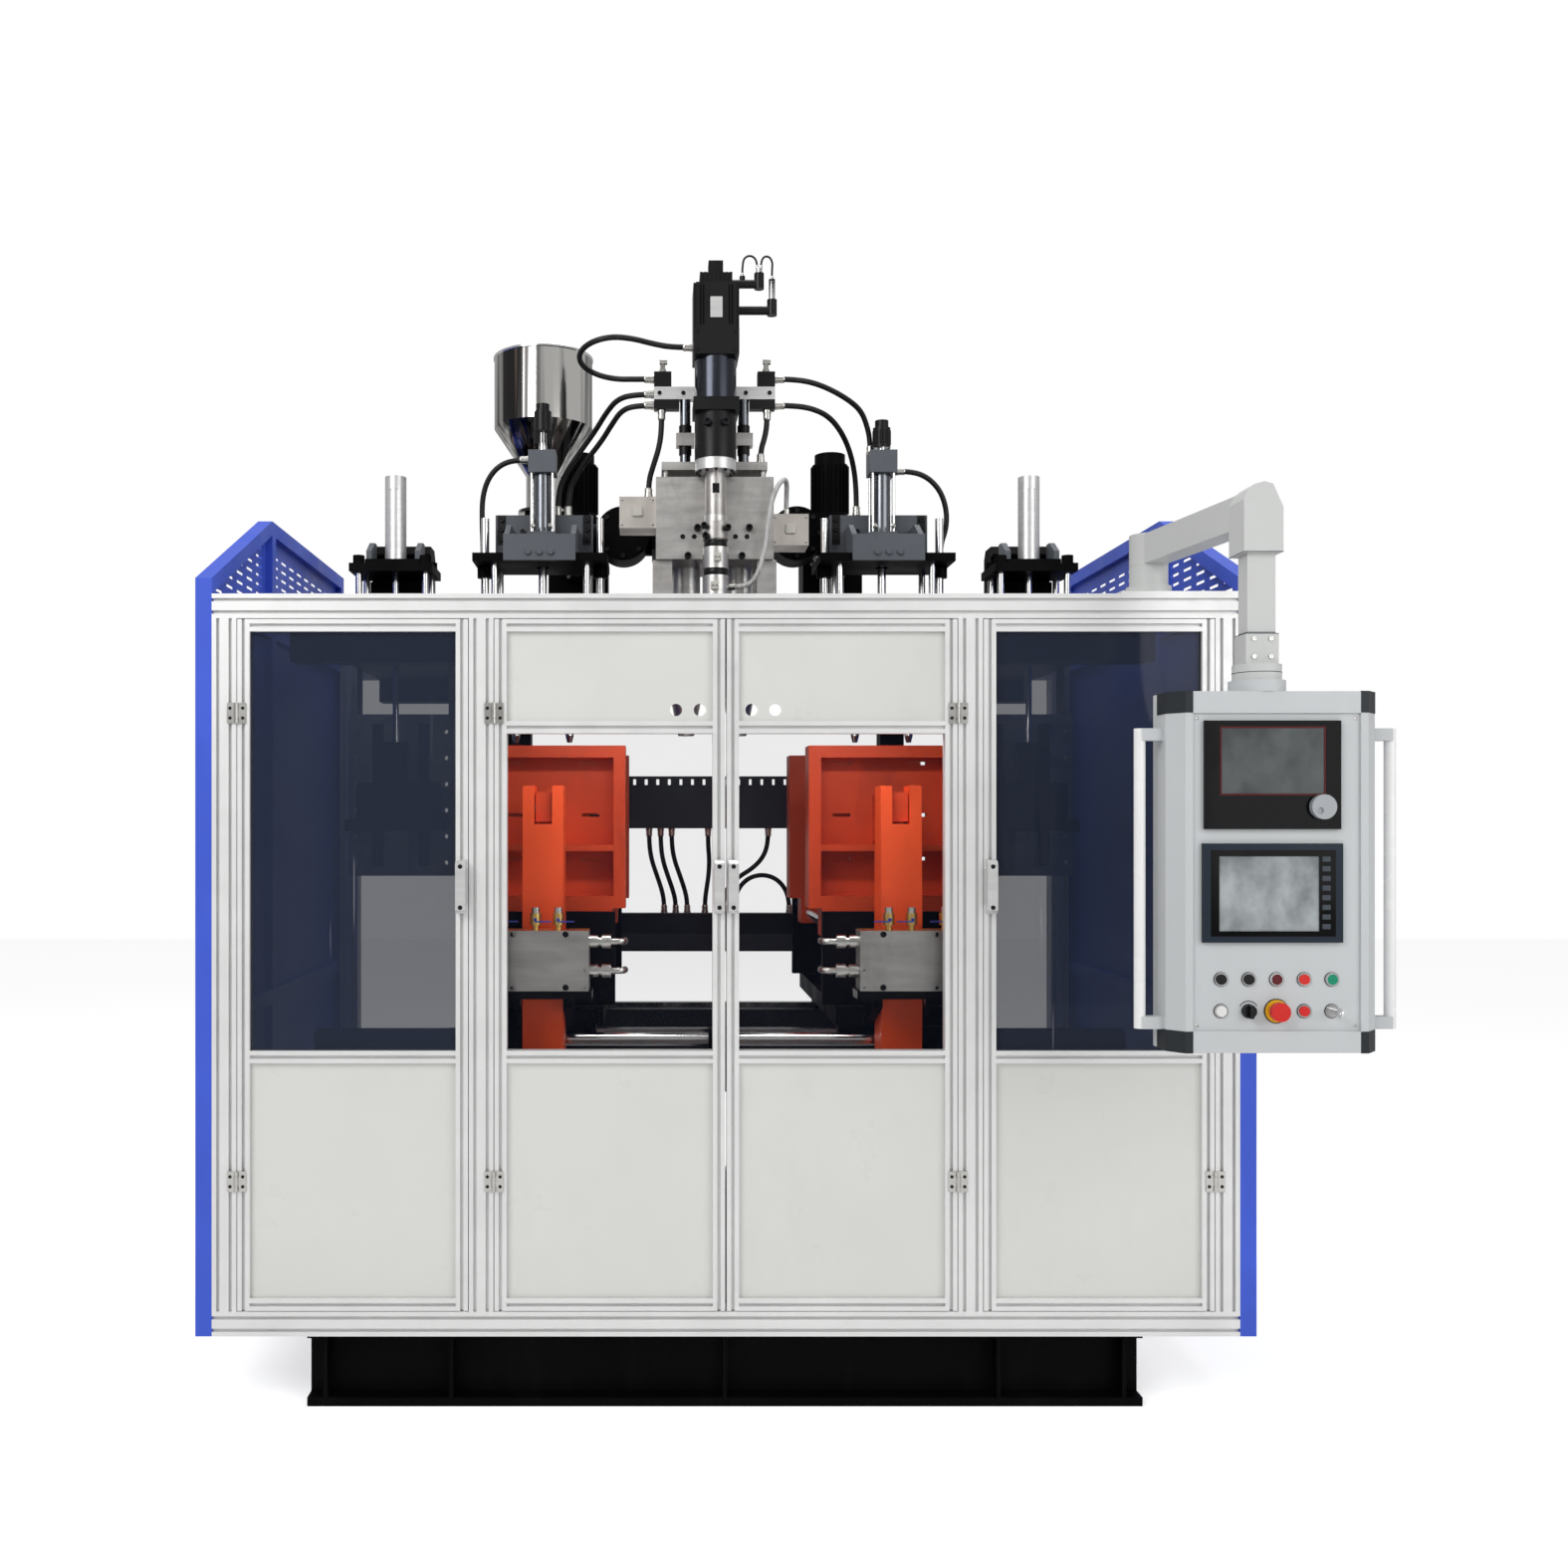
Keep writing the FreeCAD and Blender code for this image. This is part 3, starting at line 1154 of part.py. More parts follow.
def parison_drive():
    """Stack above the mandrel: coupling, cylinder, flanges, motor and its plugs."""
    y, parts = "drive_y", []
    low = "platform_top + 358"
    stack = [("0", "0"), ("30", "0"), ("30", "125"), ("58", "125"), ("58", "156"), ("59", "156")]
    stack += [("59", "286"), ("46", "286"), ("46", "322"), ("59", "322"), ("59", "441"), ("0", "441")]
    parts.append(turned(stack, ("0", y, low)))
    collar = box(("servo_side", "servo_side", "36"), ("0", y, f"{low} + 286"))
    parts.append(cut(collar, rod("46", "60", ("0", y, f"{low} + 280"))))
    z = f"{low} + 441"
    parts.append(box(("servo_side", "servo_side", f"servo_bottom - ({z})"), ("0", y, z)))
    body = box(("servo_side", "servo_side", "127"), ("0", y, "servo_bottom"))
    corners = []
    for u in (-1, 1):
        for t in (-1, 1):
            at = (f"{u} * servo_side / 2", f"{y} + {t} * servo_side / 2", "servo_bottom - 5")
            corners.append(box(("14", "14", "140"), at))
    parts.append(cut(body, *corners))
    cap_low = "servo_bottom + 127"
    fins = [box(("6", "5", "50"), (f"{12 * n} - 36", f"{y} - 45.5", f"{cap_low} - 5")) for n in range(7)]
    parts.append(cut(box(("91", "91", "35"), ("0", y, cap_low)), *fins))
    parts.append(box(("41", "50", "40"), ("0", y, f"{cap_low} + 35")))
    # two angled plugs: elbow, collar and the connector that carries the cables
    for start, rise, reach, top in (("45.5", "144", "78", "188"), ("servo_side / 2", "69", "96", "157")):
        x = f"{start} + {reach}"
        tube = rod("12", reach, (f"{start} + {reach} / 2", y, f"servo_bottom + {rise}"), "X")
        collar = rod("14", "44", (x, y, f"servo_bottom + {rise} - 14"))
        connector = rod("9", f"{top} - {rise}", (x, y, f"servo_bottom + {rise}"))
        parts.append(fuse(tube, collar, connector))
    boot = rod("8", "22", ("76", y, "servo_bottom + 144"))
    parts.append(cut(boot, rod("12", "200", ("76", y, "servo_bottom + 144"), "X")))
    # yoke beside the stack, its cylinders and the post behind
    yoke_y, plate_top = f"{y} + 74.5", "die_bottom + die_height + 48"
    parts.append(box(("348", "30", "36"), ("0", yoke_y, "2658")))
    for u in (-1, 1):
        parts.append(box(("73", "30", "28"), (f"{u} * 137.5", yoke_y, "2630")))
        parts.append(box(("50", "30", "44"), (f"{u} * 149", yoke_y, "2694")))
        at = f"{u} * 84"
        stem = rod("15", f"2658 - ({plate_top})", (at, yoke_y, plate_top))
        block = box(("52", "40", "36"), (at, yoke_y, f"{plate_top} + 46"))
        collars = rod("18", "84", (at, yoke_y, f"{plate_top} + 22"))
        parts.append(fuse(stem, block, collars))
    parts.append(box(("90", "30", f"2780 - ({plate_top})"), ("0", f"{yoke_y} + 30", plate_top)))
    node("parison_drive", *parts)


# extruders -------------------------------------------------------------------


def extruders():
    """Two extruders across the back, each with its filter and melt pipe to the die head."""
    parts = []
    y, z = "extruder_y", "extruder_height"
    front = f"({y} - extruder_radius - 8)"
    gear_front = "(gear_y - gear_depth / 2 - gear_flange)"
    low, top = f"({z} - gear_height / 2)", f"({z} + gear_height / 2)"
    back = "(clamp_y - die_offset + die_depth / 2)"
    for u in (-1, 1):
        x = f"{u} * extruder_x"
        pipe_x = f"{u} * (extruder_x + pipe_start) / 2"
        pipe = ("pipe_radius", "extruder_x - pipe_start", (pipe_x, y, z), "X")
        middle = f"({front} + {gear_front}) / 2"
        barrel = ("extruder_radius", f"{gear_front} - {front}", (x, middle, z), "Y")
        filter_y = f"{y} + 20 - filter_depth / 2"
        screen = rod("filter_radius", "filter_depth", (f"{u} * filter_x", filter_y, z), "Y")
        parts.append(fuse(rod(*pipe), rod(*barrel), screen))
        for n in (1, 2):
            at = (x, f"{gear_front} + band_length - {n} * 1.5 * band_length", z)
            band = rod("extruder_radius + band_wall", "band_length", at, "Y")
            parts.append(cut(band, rod("extruder_radius", "2 * band_length", at, "Y")))
        size = ("100", f"{y} + extruder_radius - {back}", "2 * extruder_radius - 4")
        at = (
            f"{u} * (pipe_start - 50)", f"({back} + {y} + extruder_radius) / 2",
            f"{z} - extruder_radius + 2"
        )
        parts.append(box(size, at))
        # gear box with its flange, the motor on it and the leg under it
        side = f"{x} - gear_width / 2", f"{x} + gear_width / 2"
        case = [(side[0], low), (side[0], f"{top} - gear_chamfer"), (f"{side[0]} + gear_chamfer", top)]
        case += [(f"{side[1]} - gear_chamfer", top), (side[1], f"{top} - gear_chamfer"), (side[1], low)]
        flange_at = (x, f"{gear_front} + gear_flange / 2", z)
        flange = rod("gear_flange_radius", "gear_flange", flange_at, "Y")
        parts.append(fuse(prism(case, "XZ", "gear_depth", "gear_y"), flange))
        motor = [rod("motor_radius + 8", "16", (x, "gear_y", top))]
        motor.append(rod("motor_radius", "motor_length", (x, "gear_y", f"{top} + 16")))
        motor.append(rod("motor_radius - 8", "35", (x, "gear_y", f"{top} + 16 + motor_length")))
        parts.append(fuse(*motor))
        size = ("120", "column", f"{low} - platform_top")
        parts.append(box(size, (x, "clamp_y + column_reach", "platform_top")))
    # the casting that leads the granules from the hopper down into the left barrel
    size = ("feed_side - hopper_x - extruder_x", "feed_side", f"hopper_foot - {z}")
    feed = box(size, ("(hopper_x - extruder_x) / 2", y, z))
    run = rod("pipe_radius", "gear_width", ("-extruder_x + gear_width / 2", y, z), "X")
    parts.append(cut(feed, run, rod("extruder_radius", "4 * band_length", ("-extruder_x", y, z), "Y")))
    node("extruders", *parts)


def hopper():
    wall, throat = "hopper_wall", "55"
    drop = "(hopper_bottom - hopper_foot)"
    shell = [
        ("hopper_radius", "0"), ("hopper_radius", "hopper_height"),
        (f"hopper_radius - {wall}", "hopper_height")
    ]
    shell += [
        (f"hopper_radius - {wall}", "1"), (f"{throat} - {wall}", "-149"),
        (f"{throat} - {wall}", f"-{drop}")
    ]
    shell += [("80", f"-{drop}"), ("80", f"10 - {drop}"), (throat, f"10 - {drop}"), (throat, "-150")]
    node("hopper", turned(shell, ("hopper_x", "extruder_y", "hopper_bottom")))


# operator panel --------------------------------------------------------------


def panel_arm():
    x, y = "arm_base_x", "arm_base_y"
    top = GUARD_TOP
    plate = box(("290", "120", "6"), (f"{x} + 57", y, top))
    flange = rod("54", "18", (x, y, f"{top} + 6"))
    turret = rod("46", "50", (x, y, f"{top} + 24"))
    node("panel_arm_base", plate, flange, turret)
    low = f"{top} + 74.3"
    hub = rod("46", "boom_depth + 6", (x, y, low))
    half = "boom_width / 2"
    plan = [
        (f"{x} - {half}", f"{y}"), (f"swing_x - {half}", "swing_y"), (f"swing_x + {half}", "swing_y"),
        (f"{x} + {half}", f"{y}")
    ]
    boom = prism(plan, "XY", "boom_depth", f"{low} + 3")
    elbow_low = f"{low} + boom_depth - 130"
    rise = "swing_x - 42", "swing_x + 42"
    head = [
        (rise[0], elbow_low), (rise[0], f"{elbow_low} + 112"), ("swing_x - 34", f"{elbow_low} + 132")
    ]
    head += [("swing_x - 18", f"{elbow_low} + 145"), ("swing_x + 2", f"{elbow_low} + 150")]
    head += [
        ("swing_x + 20", f"{elbow_low} + 145"), (rise[1], f"{elbow_low} + 96"), (rise[1], elbow_low)
    ]
    elbow = prism(head, "XZ", "80", "swing_y + 4")
    drop = box(("60", "48", f"{elbow_low} - (panel_top + 90)"), ("swing_x", "swing_y", "panel_top + 90"))
    sleeve = box(("70", "58", "66"), ("swing_x", "swing_y", "panel_top + 60"))
    flange = rod("50", "34", ("swing_x", "swing_y", "panel_top + 26"))
    node("panel_arm", fuse(hub, boom, elbow, drop, sleeve, flange))


PANEL_FRONT = "(swing_y - panel_depth / 2)"
PANEL_BOTTOM = "(panel_top - panel_height)"
LOWER_ROW = f"{PANEL_BOTTOM} + 88"
UPPER_ROW = f"{PANEL_BOTTOM} + 88 + button_row"


def control_x(n):
    return f"panel_x + ({n} - 2) * button_pitch"


def control_bore(n, z, radius="button_radius + 0.4"):
    return rod(radius, "60", (control_x(n), PANEL_FRONT, z), "Y")


def enclosure():
    x, low = "panel_x", PANEL_BOTTOM
    half = "panel_width / 2"
    rear = "swing_y + panel_depth / 2"
    plan = [
        (f"{x} - {half}", rear), (f"{x} - {half}", f"{PANEL_FRONT} + 34"),
        (f"{x} - {half} + 30", PANEL_FRONT)
    ]
    plan += [
        (f"{x} + {half} - 30", PANEL_FRONT), (f"{x} + {half}", f"{PANEL_FRONT} + 34"),
        (f"{x} + {half}", rear)
    ]
    body = prism(plan, "XY", "panel_height", low)
    size = ("panel_width - 2 * panel_edge", "10", "panel_height - 2 * panel_edge")
    face = box(size, (x, PANEL_FRONT, f"{low} + panel_edge"))
    bores = [control_bore(n, z) for n in range(5) for z in (LOWER_ROW, UPPER_ROW)]
    dial = control_dial_place()
    bores.append(rod("6.5", "60", (dial[0], PANEL_FRONT, dial[1]), "Y"))
    cavity = box(
        ("panel_width - 72", "panel_depth - 14", "panel_height - 20"), (x, "swing_y + 4", f"{low} + 10")
    )
    shell = cut(body, face, cavity, *bores)
    collar = rod("58", "25.7", ("swing_x", "swing_y", "panel_top"))
    rings = []
    for n in range(5):
        for z in (LOWER_ROW, UPPER_ROW):
            wide = "bezel_radius + 10" if (n, z) == (2, LOWER_ROW) else "bezel_radius"
            ring = rod(
                wide, "bezel_height", (control_x(n), f"{PANEL_FRONT} + 5 - bezel_height / 2", z), "Y"
            )
            rings.append(cut(ring, control_bore(n, z)))
    lamps = []
    for n, z in ((2, UPPER_ROW), (4, UPPER_ROW)):
        lamps.append(rod("button_radius + 0.4", "22", (control_x(n), f"{PANEL_FRONT} + 10", z), "Y"))
    handles = []
    for s in (-1, 1):
        side = f"{x} + {s} * {half}"
        bar = rod("12", "644", (f"{side} + {s} * 46", f"{PANEL_FRONT} + 62", f"{low} + 44"))
        handles.append(bar)
        for rise in (44, 662):
            at = (f"{side} + {s} * 23", f"{PANEL_FRONT} + 62", f"{low} + {rise}")
            clear = rod("12", "700", (f"{side} + {s} * 46", f"{PANEL_FRONT} + 62", f"{low} + 20"))
            handles.append(cut(box(("46", "30", "26"), at), clear))
    node("panel_enclosure", fuse(shell, collar), *rings, *lamps, *handles)
    # the upper screen unit carries the dial, the lower one a row of keys
    front = f"{PANEL_FRONT} + 5"
    units = []
    top = f"{low} + panel_height - panel_edge"
    size = ("287", "9", "229")
    at = (f"{x} - 10", f"{front} - 4.5", f"{top} - 16 - 229")
    upper = box(size, at)
    glass = box(("224", "4", "146"), (f"{x} - 10", f"{front} - 9", f"{top} - 16 - 158"))
    units.append(cut(upper, glass, rod("6.5", "60", (dial[0], PANEL_FRONT, dial[1]), "Y")))
    lower_at = (f"{x} - 10", f"{front} - 4.5", f"{top} - 16 - 229 - 30 - 209")
    lower = box(("295", "9", "209"), lower_at)
    glass = box(("211", "4", "158"), (f"{x} - 18", f"{front} - 9", f"{lower_at[2]} + 24"))
    units.append(cut(lower, glass))
    node("panel_screens", *units)


def control_dial_place():
    top = f"({PANEL_BOTTOM} + panel_height - panel_edge)"
    return "panel_x - 10 + 102", f"{top} - 16 - 182"


def push_button(label, n, z):
    """A push button: its stem runs in the panel's bore."""
    face = f"{PANEL_FRONT} + 5 - bezel_height"
    at = (control_x(n), f"{face} - 3 + 11", z)
    node(label, rod("button_radius", "22", at, "Y"))


def controls():
    push_button("cycle_button", 0, UPPER_ROW)
    push_button("spare_button", 1, UPPER_ROW)
    push_button("mould_button_upper", 3, UPPER_ROW)
    push_button("mould_button_lower", 3, LOWER_ROW)
    push_button("reset_button", 0, LOWER_ROW)
    face = f"{PANEL_FRONT} + 5 - bezel_height"
    x = control_x(1)
    stem = rod("button_radius", "26", (x, f"{face} + 11", LOWER_ROW), "Y")
    knob = rod("14", "8", (x, f"{face} - 4.4", LOWER_ROW), "Y")
    grip = box(("8", "12", "28"), (x, f"{face} - 12", f"{LOWER_ROW} - 14"))
    node("cycle_selector", fuse(stem, knob, grip))
    x = control_x(2)
    stem = rod("button_radius", "30", (x, f"{face} + 3", LOWER_ROW), "Y")
    head = rod("20", "14", (x, f"{face} - 17", LOWER_ROW), "Y")
    node("emergency_stop", fuse(stem, head))
    x = control_x(4)
    stem = rod("button_radius", "24", (x, f"{face} + 11", LOWER_ROW), "Y")
    key = box(("3", "34", "10"), (x, f"{face} - 15", f"{LOWER_ROW} - 5"))
    bow = cut(
        rod("11", "2.5", (x, f"{face} - 36", LOWER_ROW), "X"),
        rod("3", "8", (x, f"{face} - 40", LOWER_ROW), "X")
    )
    node("key_switch", fuse(stem, key, bow))
    dial_x, dial_z = control_dial_place()
    front = f"{PANEL_FRONT} + 5 - 9"
    wheel = rod("26", "14", (dial_x, f"{front} - 7.4", dial_z), "Y")
    dimple = rod("7", "6", (f"{dial_x} - 9", f"{front} - 14", f"{dial_z} - 8"), "Y")
    stem = rod("6", "20", (dial_x, f"{front} + 8", dial_z), "Y")
    node("jog_dial", fuse(cut(wheel, dimple), stem))


# hoses and cables --------------------------------------------------------------


def hose(points, radius, ferrule_radius, ferrule_length):
    """A tube along straight runs joined by tangent arcs, with a ferrule on each end."""
    spots = [FreeCAD.Vector(*point) for point in points]
    edges, start, bends = [], spots[0], []
    for before, corner, after in zip(spots, spots[1:], spots[2:]):
        into, out = corner - before, after - corner
        turn = into.getAngle(out)
        reach = 0.45 * min(into.Length, out.Length)
        bend = reach / math.tan(turn / 2)
        bends.append(bend)
        first = corner - into.normalize() * reach
        last = corner + out.normalize() * reach
        towards = (first + last) * 0.5 - corner
        middle = corner + towards.normalize() * (bend / math.cos(turn / 2) - bend)
        edges.append(Part.LineSegment(start, first).toShape())
        edges.append(Part.Arc(first, middle, last).toShape())
        start = last
    edges.append(Part.LineSegment(start, spots[-1]).toShape())
    length = sum(edge.Length for edge in edges)
    circle = Part.Circle(spots[0], spots[1] - spots[0], radius)
    tube = Part.Wire(edges).makePipeShell([Part.Wire([circle.toShape()])], True, False)
    share = tube.Volume / (math.pi * radius**2 * length)
    print(f"hose: {length:.0f} mm, least bend {min(bends):.0f} mm, volume share {share:.4f}")
    for end, inward in ((spots[0], spots[1]), (spots[-1], spots[-2])):
        ferrule = Part.makeCylinder(ferrule_radius, ferrule_length, end, inward - end)
        tube = tube.fuse(ferrule)
    thing = doc.addObject("Part::Feature", "Hose")
    thing.Shape = tube.removeSplitter()
    return thing


# routes in millimetres, each from one seat on the machine to another
HOSE_ROUTES = (
    # from the left blow cylinder's head round to the unit's plate
    ((-546.5, 50, 2524), (-592, 50, 2524), (-637, 54, 2508), (-671, 64, 2472), (-690, 78, 2418),
     (-692, 90, 2344), (-690, 98, 2278), (-690, 98, 2225)),
    # from the right blow cylinder's head round to the unit's plate
    ((546.5, 50, 2490), (596, 50, 2490), (644, 56, 2474), (684, 68, 2438), (706, 82, 2386),
     (708, 92, 2328), (690, 98, 2277), (690, 98, 2225)),
    # two from the left unit's back plate up to the yoke
    ((-466, 120, 2372), (-466, 120, 2440), (-444, 110, 2494), (-402, 86, 2550), (-352, 44, 2604),
     (-314, -18, 2646), (-280, -74, 2669), (-230, -95.5, 2676), (-174, -95.5, 2676)),
    ((-434, 120, 2372), (-434, 120, 2436), (-414, 108, 2484), (-376, 80, 2532), (-330, 36, 2576),
     (-296, -24, 2612), (-268, -74, 2636), (-228, -95.5, 2644), (-174, -95.5, 2644)),
    # the loop from the drive's flange round to the yoke's left block
    ((-64, -170, 2787), (-122, -170, 2787), (-178, -192, 2790), (-236, -232, 2792), (-297, -258, 2788),
     (-355, -237, 2778), (-388, -185, 2764), (-382, -125, 2750), (-342, -83, 2737), (-286, -76, 2726),
     (-230, -95.5, 2720), (-174, -95.5, 2720)),
    # down from the yoke's ends
    ((-152, -95.5, 2630), (-152, -95.5, 2572), (-160, -88, 2522), (-176, -74, 2476), (-190, -56, 2434),
     (-190, -56, 2386)),
    ((152, -95.5, 2630), (152, -95.5, 2590), (146, -92, 2553), (134, -86.5, 2516), (134, -86.5, 2478)),
    # two from the yoke to the right unit
    ((174, -95.5, 2720), (228, -95.5, 2720), (290, -76, 2716), (352, -36, 2704), (411, 12, 2686),
     (445, 42, 2665), (464, 66, 2632), (476, 80, 2590), (476, 80, 2545)),
    ((174, -95.5, 2644), (226, -95.5, 2644), (284, -78, 2641), (336, -44, 2628), (376, 2, 2600),
     (408, 50, 2560), (430, 92, 2506), (440, 118, 2440), (440, 118, 2372)),
    # down from the upper beam at the back to the manifold
    ((-190, 735, 1423), (-190, 735, 1368), (-181, 739, 1312), (-163, 742, 1260), (-146, 739, 1210),
     (-138, 735, 1170), (-138, 735, 1130)),
    ((-150, 735, 1423), (-150, 735, 1366), (-142, 730, 1310), (-125, 727, 1258), (-108, 730, 1210),
     (-98, 735, 1170), (-98, 735, 1130)),
    ((-112, 735, 1423), (-112, 735, 1370), (-103, 740, 1315), (-84, 744, 1262), (-67, 740, 1212),
     (-58, 735, 1172), (-58, 735, 1130)),
    ((14, 735, 1423), (14, 735, 1367), (19, 740, 1312), (16, 743, 1258), (8, 739, 1208),
     (3, 735, 1169), (3, 735, 1130)),
    ((222, 735, 1423), (222, 735, 1372), (205, 738, 1322), (168, 741, 1284), (122, 742, 1256),
     (84, 740, 1222), (66, 735, 1178), (66, 735, 1130)),
    # an arch between two ports of the manifold
    ((105, 735, 1130), (105, 735, 1172), (120, 733, 1218), (154, 730, 1252), (200, 728, 1264),
     (246, 730, 1252), (280, 733, 1218), (295, 735, 1172), (295, 735, 1130)),
)
CABLE_ROUTES = (
    ((118, -170, 3010), (118, -170, 3030), (106, -170, 3046), (88, -170, 3046), (76, -170, 3030),
     (76, -170, 2988)),
    ((129, -170, 3010), (129, -170, 3030), (138, -170, 3045), (153, -170, 3044), (162, -170, 3028),
     (160, -170, 3003), (160, -170, 2979)),
)
# the sleeved wires from the right terminal box to the mandrel's heater bands
LOOM_ROUTE = (
    (212, -50, 2336), (212, -50, 2384), (210, -92, 2420), (198, -138, 2424), (176, -166, 2396),
    (158, -172, 2348), (149, -172, 2290), (143, -171, 2230), (130, -171, 2174), (113, -170, 2132),
    (84, -170, 2108), (37, -170, 2108),
)


def hoses():
    radius, ferrule, length = SIZES["hose_radius"], SIZES["ferrule_radius"], SIZES["ferrule_length"]
    tubes = [hose(points, radius, ferrule, length) for points in HOSE_ROUTES]
    thin = SIZES["cable_radius"]
    tubes += [hose(points, thin, thin * 4 / 3, thin * 3) for points in CABLE_ROUTES]
    loom, collar = SIZES["loom_radius"], SIZES["loom_collar"]
    tubes.append(hose(LOOM_ROUTE, loom, collar, 2 * collar))
    node("hoses", *tubes)


base_frame()
guard_frame()
for number, (left, hinge, side, upper) in DOORS.items():
    door(number, left, hinge, side, upper)
node("side_guards", *side_guard(-1), *side_guard(1))
machine_frame()
station("left", -1)
station("right", 1)
node("blow_units", *blow_unit("-blow_x", "62"), *blow_unit("blow_x", "13"))
node("trim_units", *trim_unit("-trim_x"), *trim_unit("trim_x"))
for name, side in (("left", -1), ("right", 1)):
    blow_head(f"{name}_blow_head", f"{side} * blow_x")
    trim_head(f"{name}_trim_head", f"{side} * trim_x")
die_head()
parison_drive()
extruders()
hopper()
hoses()
panel_arm()
enclosure()
controls()

doc.recompute()
os.makedirs("parts", exist_ok=True)
for thing in doc.Objects:
    if "Invalid" in thing.State or "Error" in thing.State:
        raise RuntimeError(f"{thing.Name} ({thing.Label}) failed: {thing.State}")
for whole in NODES:
    if whole.Shape.isNull() or not whole.Shape.isValid():
        raise RuntimeError(f"{whole.Label} has no valid shape")
for whole in NODES:
    whole.Shape.exportStep(f"parts/{whole.Label}.step")
    print(f"{whole.Label}: {len(whole.Shape.Solids)} solids")
print(len(NODES), "nodes")
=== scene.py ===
"""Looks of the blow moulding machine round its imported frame. Metres, +Z up, +Y to the back."""

import math

import bmesh
import bpy
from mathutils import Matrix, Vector


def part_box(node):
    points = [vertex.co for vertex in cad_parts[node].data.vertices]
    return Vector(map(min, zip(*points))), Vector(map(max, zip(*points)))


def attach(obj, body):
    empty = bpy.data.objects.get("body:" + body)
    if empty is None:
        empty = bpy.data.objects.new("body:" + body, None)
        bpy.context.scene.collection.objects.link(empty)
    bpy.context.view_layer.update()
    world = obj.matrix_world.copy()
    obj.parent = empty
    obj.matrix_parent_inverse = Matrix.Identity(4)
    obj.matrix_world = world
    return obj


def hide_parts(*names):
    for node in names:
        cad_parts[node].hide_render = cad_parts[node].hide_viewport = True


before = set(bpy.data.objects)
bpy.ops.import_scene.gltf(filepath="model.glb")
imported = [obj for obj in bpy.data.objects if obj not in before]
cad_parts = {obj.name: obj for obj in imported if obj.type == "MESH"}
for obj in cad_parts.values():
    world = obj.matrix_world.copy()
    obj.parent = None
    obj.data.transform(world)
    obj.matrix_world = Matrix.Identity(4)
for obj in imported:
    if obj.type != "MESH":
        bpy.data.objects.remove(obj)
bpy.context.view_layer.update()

# places on the machine; stations, units and extruders also stand at -X
FRONT = -0.75
HINGE_HEIGHTS = (0.567, 1.705)
CLAMP_Y = 0.05
STATION_X = 0.459
BLOW_X = 0.506
TRIM_X = 0.945
MANDREL_Y = -0.17
TERMINALS = ((0.004, 2.186), (-0.004, 2.106), (0.006, 2.026))
YOKE_Y = -0.0955
EXTRUDER_X, EXTRUDER_Z = 0.43, 2.34
SWING_X, SWING_Y = 1.118, -1.16
PANEL_X, PANEL_FRONT = 1.138, -1.215
PANEL_LOW, PANEL_HIGH = 0.952, 1.715
CONTROL_PITCH = 0.0585
LOWER_ROW, UPPER_ROW = 1.04, 1.107


# camera ----------------------------------------------------------------------


def add_camera():
    """A level camera in front of the doors, shifted so that its axis stays square to the guard."""
    data = bpy.data.cameras.new("camera")
    data.sensor_width = 36
    data.lens = 33.06
    data.shift_x = 0.084
    data.shift_y = 0.027
    camera = bpy.data.objects.new("camera", data)
    camera.location = (-0.179, -4.25, 1.43)
    camera.rotation_euler = (math.pi / 2, 0, 0)
    bpy.context.scene.collection.objects.link(camera)
    bpy.context.scene.camera = camera


add_camera()


# materials -------------------------------------------------------------------


MATERIALS = {}


def new_material(name, color, metallic=0.0, roughness=0.5, **sockets):
    """Makes a material and keeps it in MATERIALS; other sockets of its shader go by name."""
    made = bpy.data.materials.new(name)
    MATERIALS[name] = made
    made.use_nodes = True
    shader = made.node_tree.nodes["Principled BSDF"]
    shader.inputs["Base Color"].default_value = (*color, 1)
    shader.inputs["Metallic"].default_value = metallic
    shader.inputs["Roughness"].default_value = roughness
    for socket, value in sockets.items():
        shader.inputs[socket.replace("_", " ")].default_value = value
    made.diffuse_color = (*color, 1)
    return made


def add_node(tree, kind, **values):
    """Adds a shader node; a value is that of an input where one has its name, otherwise a setting."""
    node = tree.nodes.new(kind)
    for key, value in values.items():
        if key in node.inputs:
            node.inputs[key].default_value = value
        else:
            setattr(node, key, value)
    return node


def noise(tree, scale, stretch=(1, 1, 1), detail=3.0, roughness=0.55):
    """Noise over the object's own coordinates, stretched along an axis."""
    place = add_node(tree, "ShaderNodeTexCoord")
    mapping = add_node(tree, "ShaderNodeMapping", Scale=stretch)
    pattern = add_node(tree, "ShaderNodeTexNoise", Scale=scale, Detail=detail, Roughness=roughness)
    tree.links.new(place.outputs["Object"], mapping.inputs["Vector"])
    tree.links.new(mapping.outputs["Vector"], pattern.inputs["Vector"])
    return pattern.outputs["Fac"]


def spread(tree, value, low, high, to_low, to_high):
    """Maps a range of values to another one."""
    scaled = add_node(tree, "ShaderNodeMapRange")
    for name, number in (("From Min", low), ("From Max", high), ("To Min", to_low), ("To Max", to_high)):
        scaled.inputs[name].default_value = number
    tree.links.new(value, scaled.inputs["Value"])
    return scaled.outputs["Result"]


def blend_color(tree, share, first, second):
    """Mixes two colours, each a tuple or a socket, by a share from 0 to 1."""
    mix = add_node(tree, "ShaderNodeMix", data_type="RGBA")
    for socket, color in ((mix.inputs[6], first), (mix.inputs[7], second)):
        if isinstance(color, tuple):
            socket.default_value = (*color, 1)
        else:
            tree.links.new(color, socket)
    tree.links.new(share, mix.inputs[0])
    return mix.outputs[2]


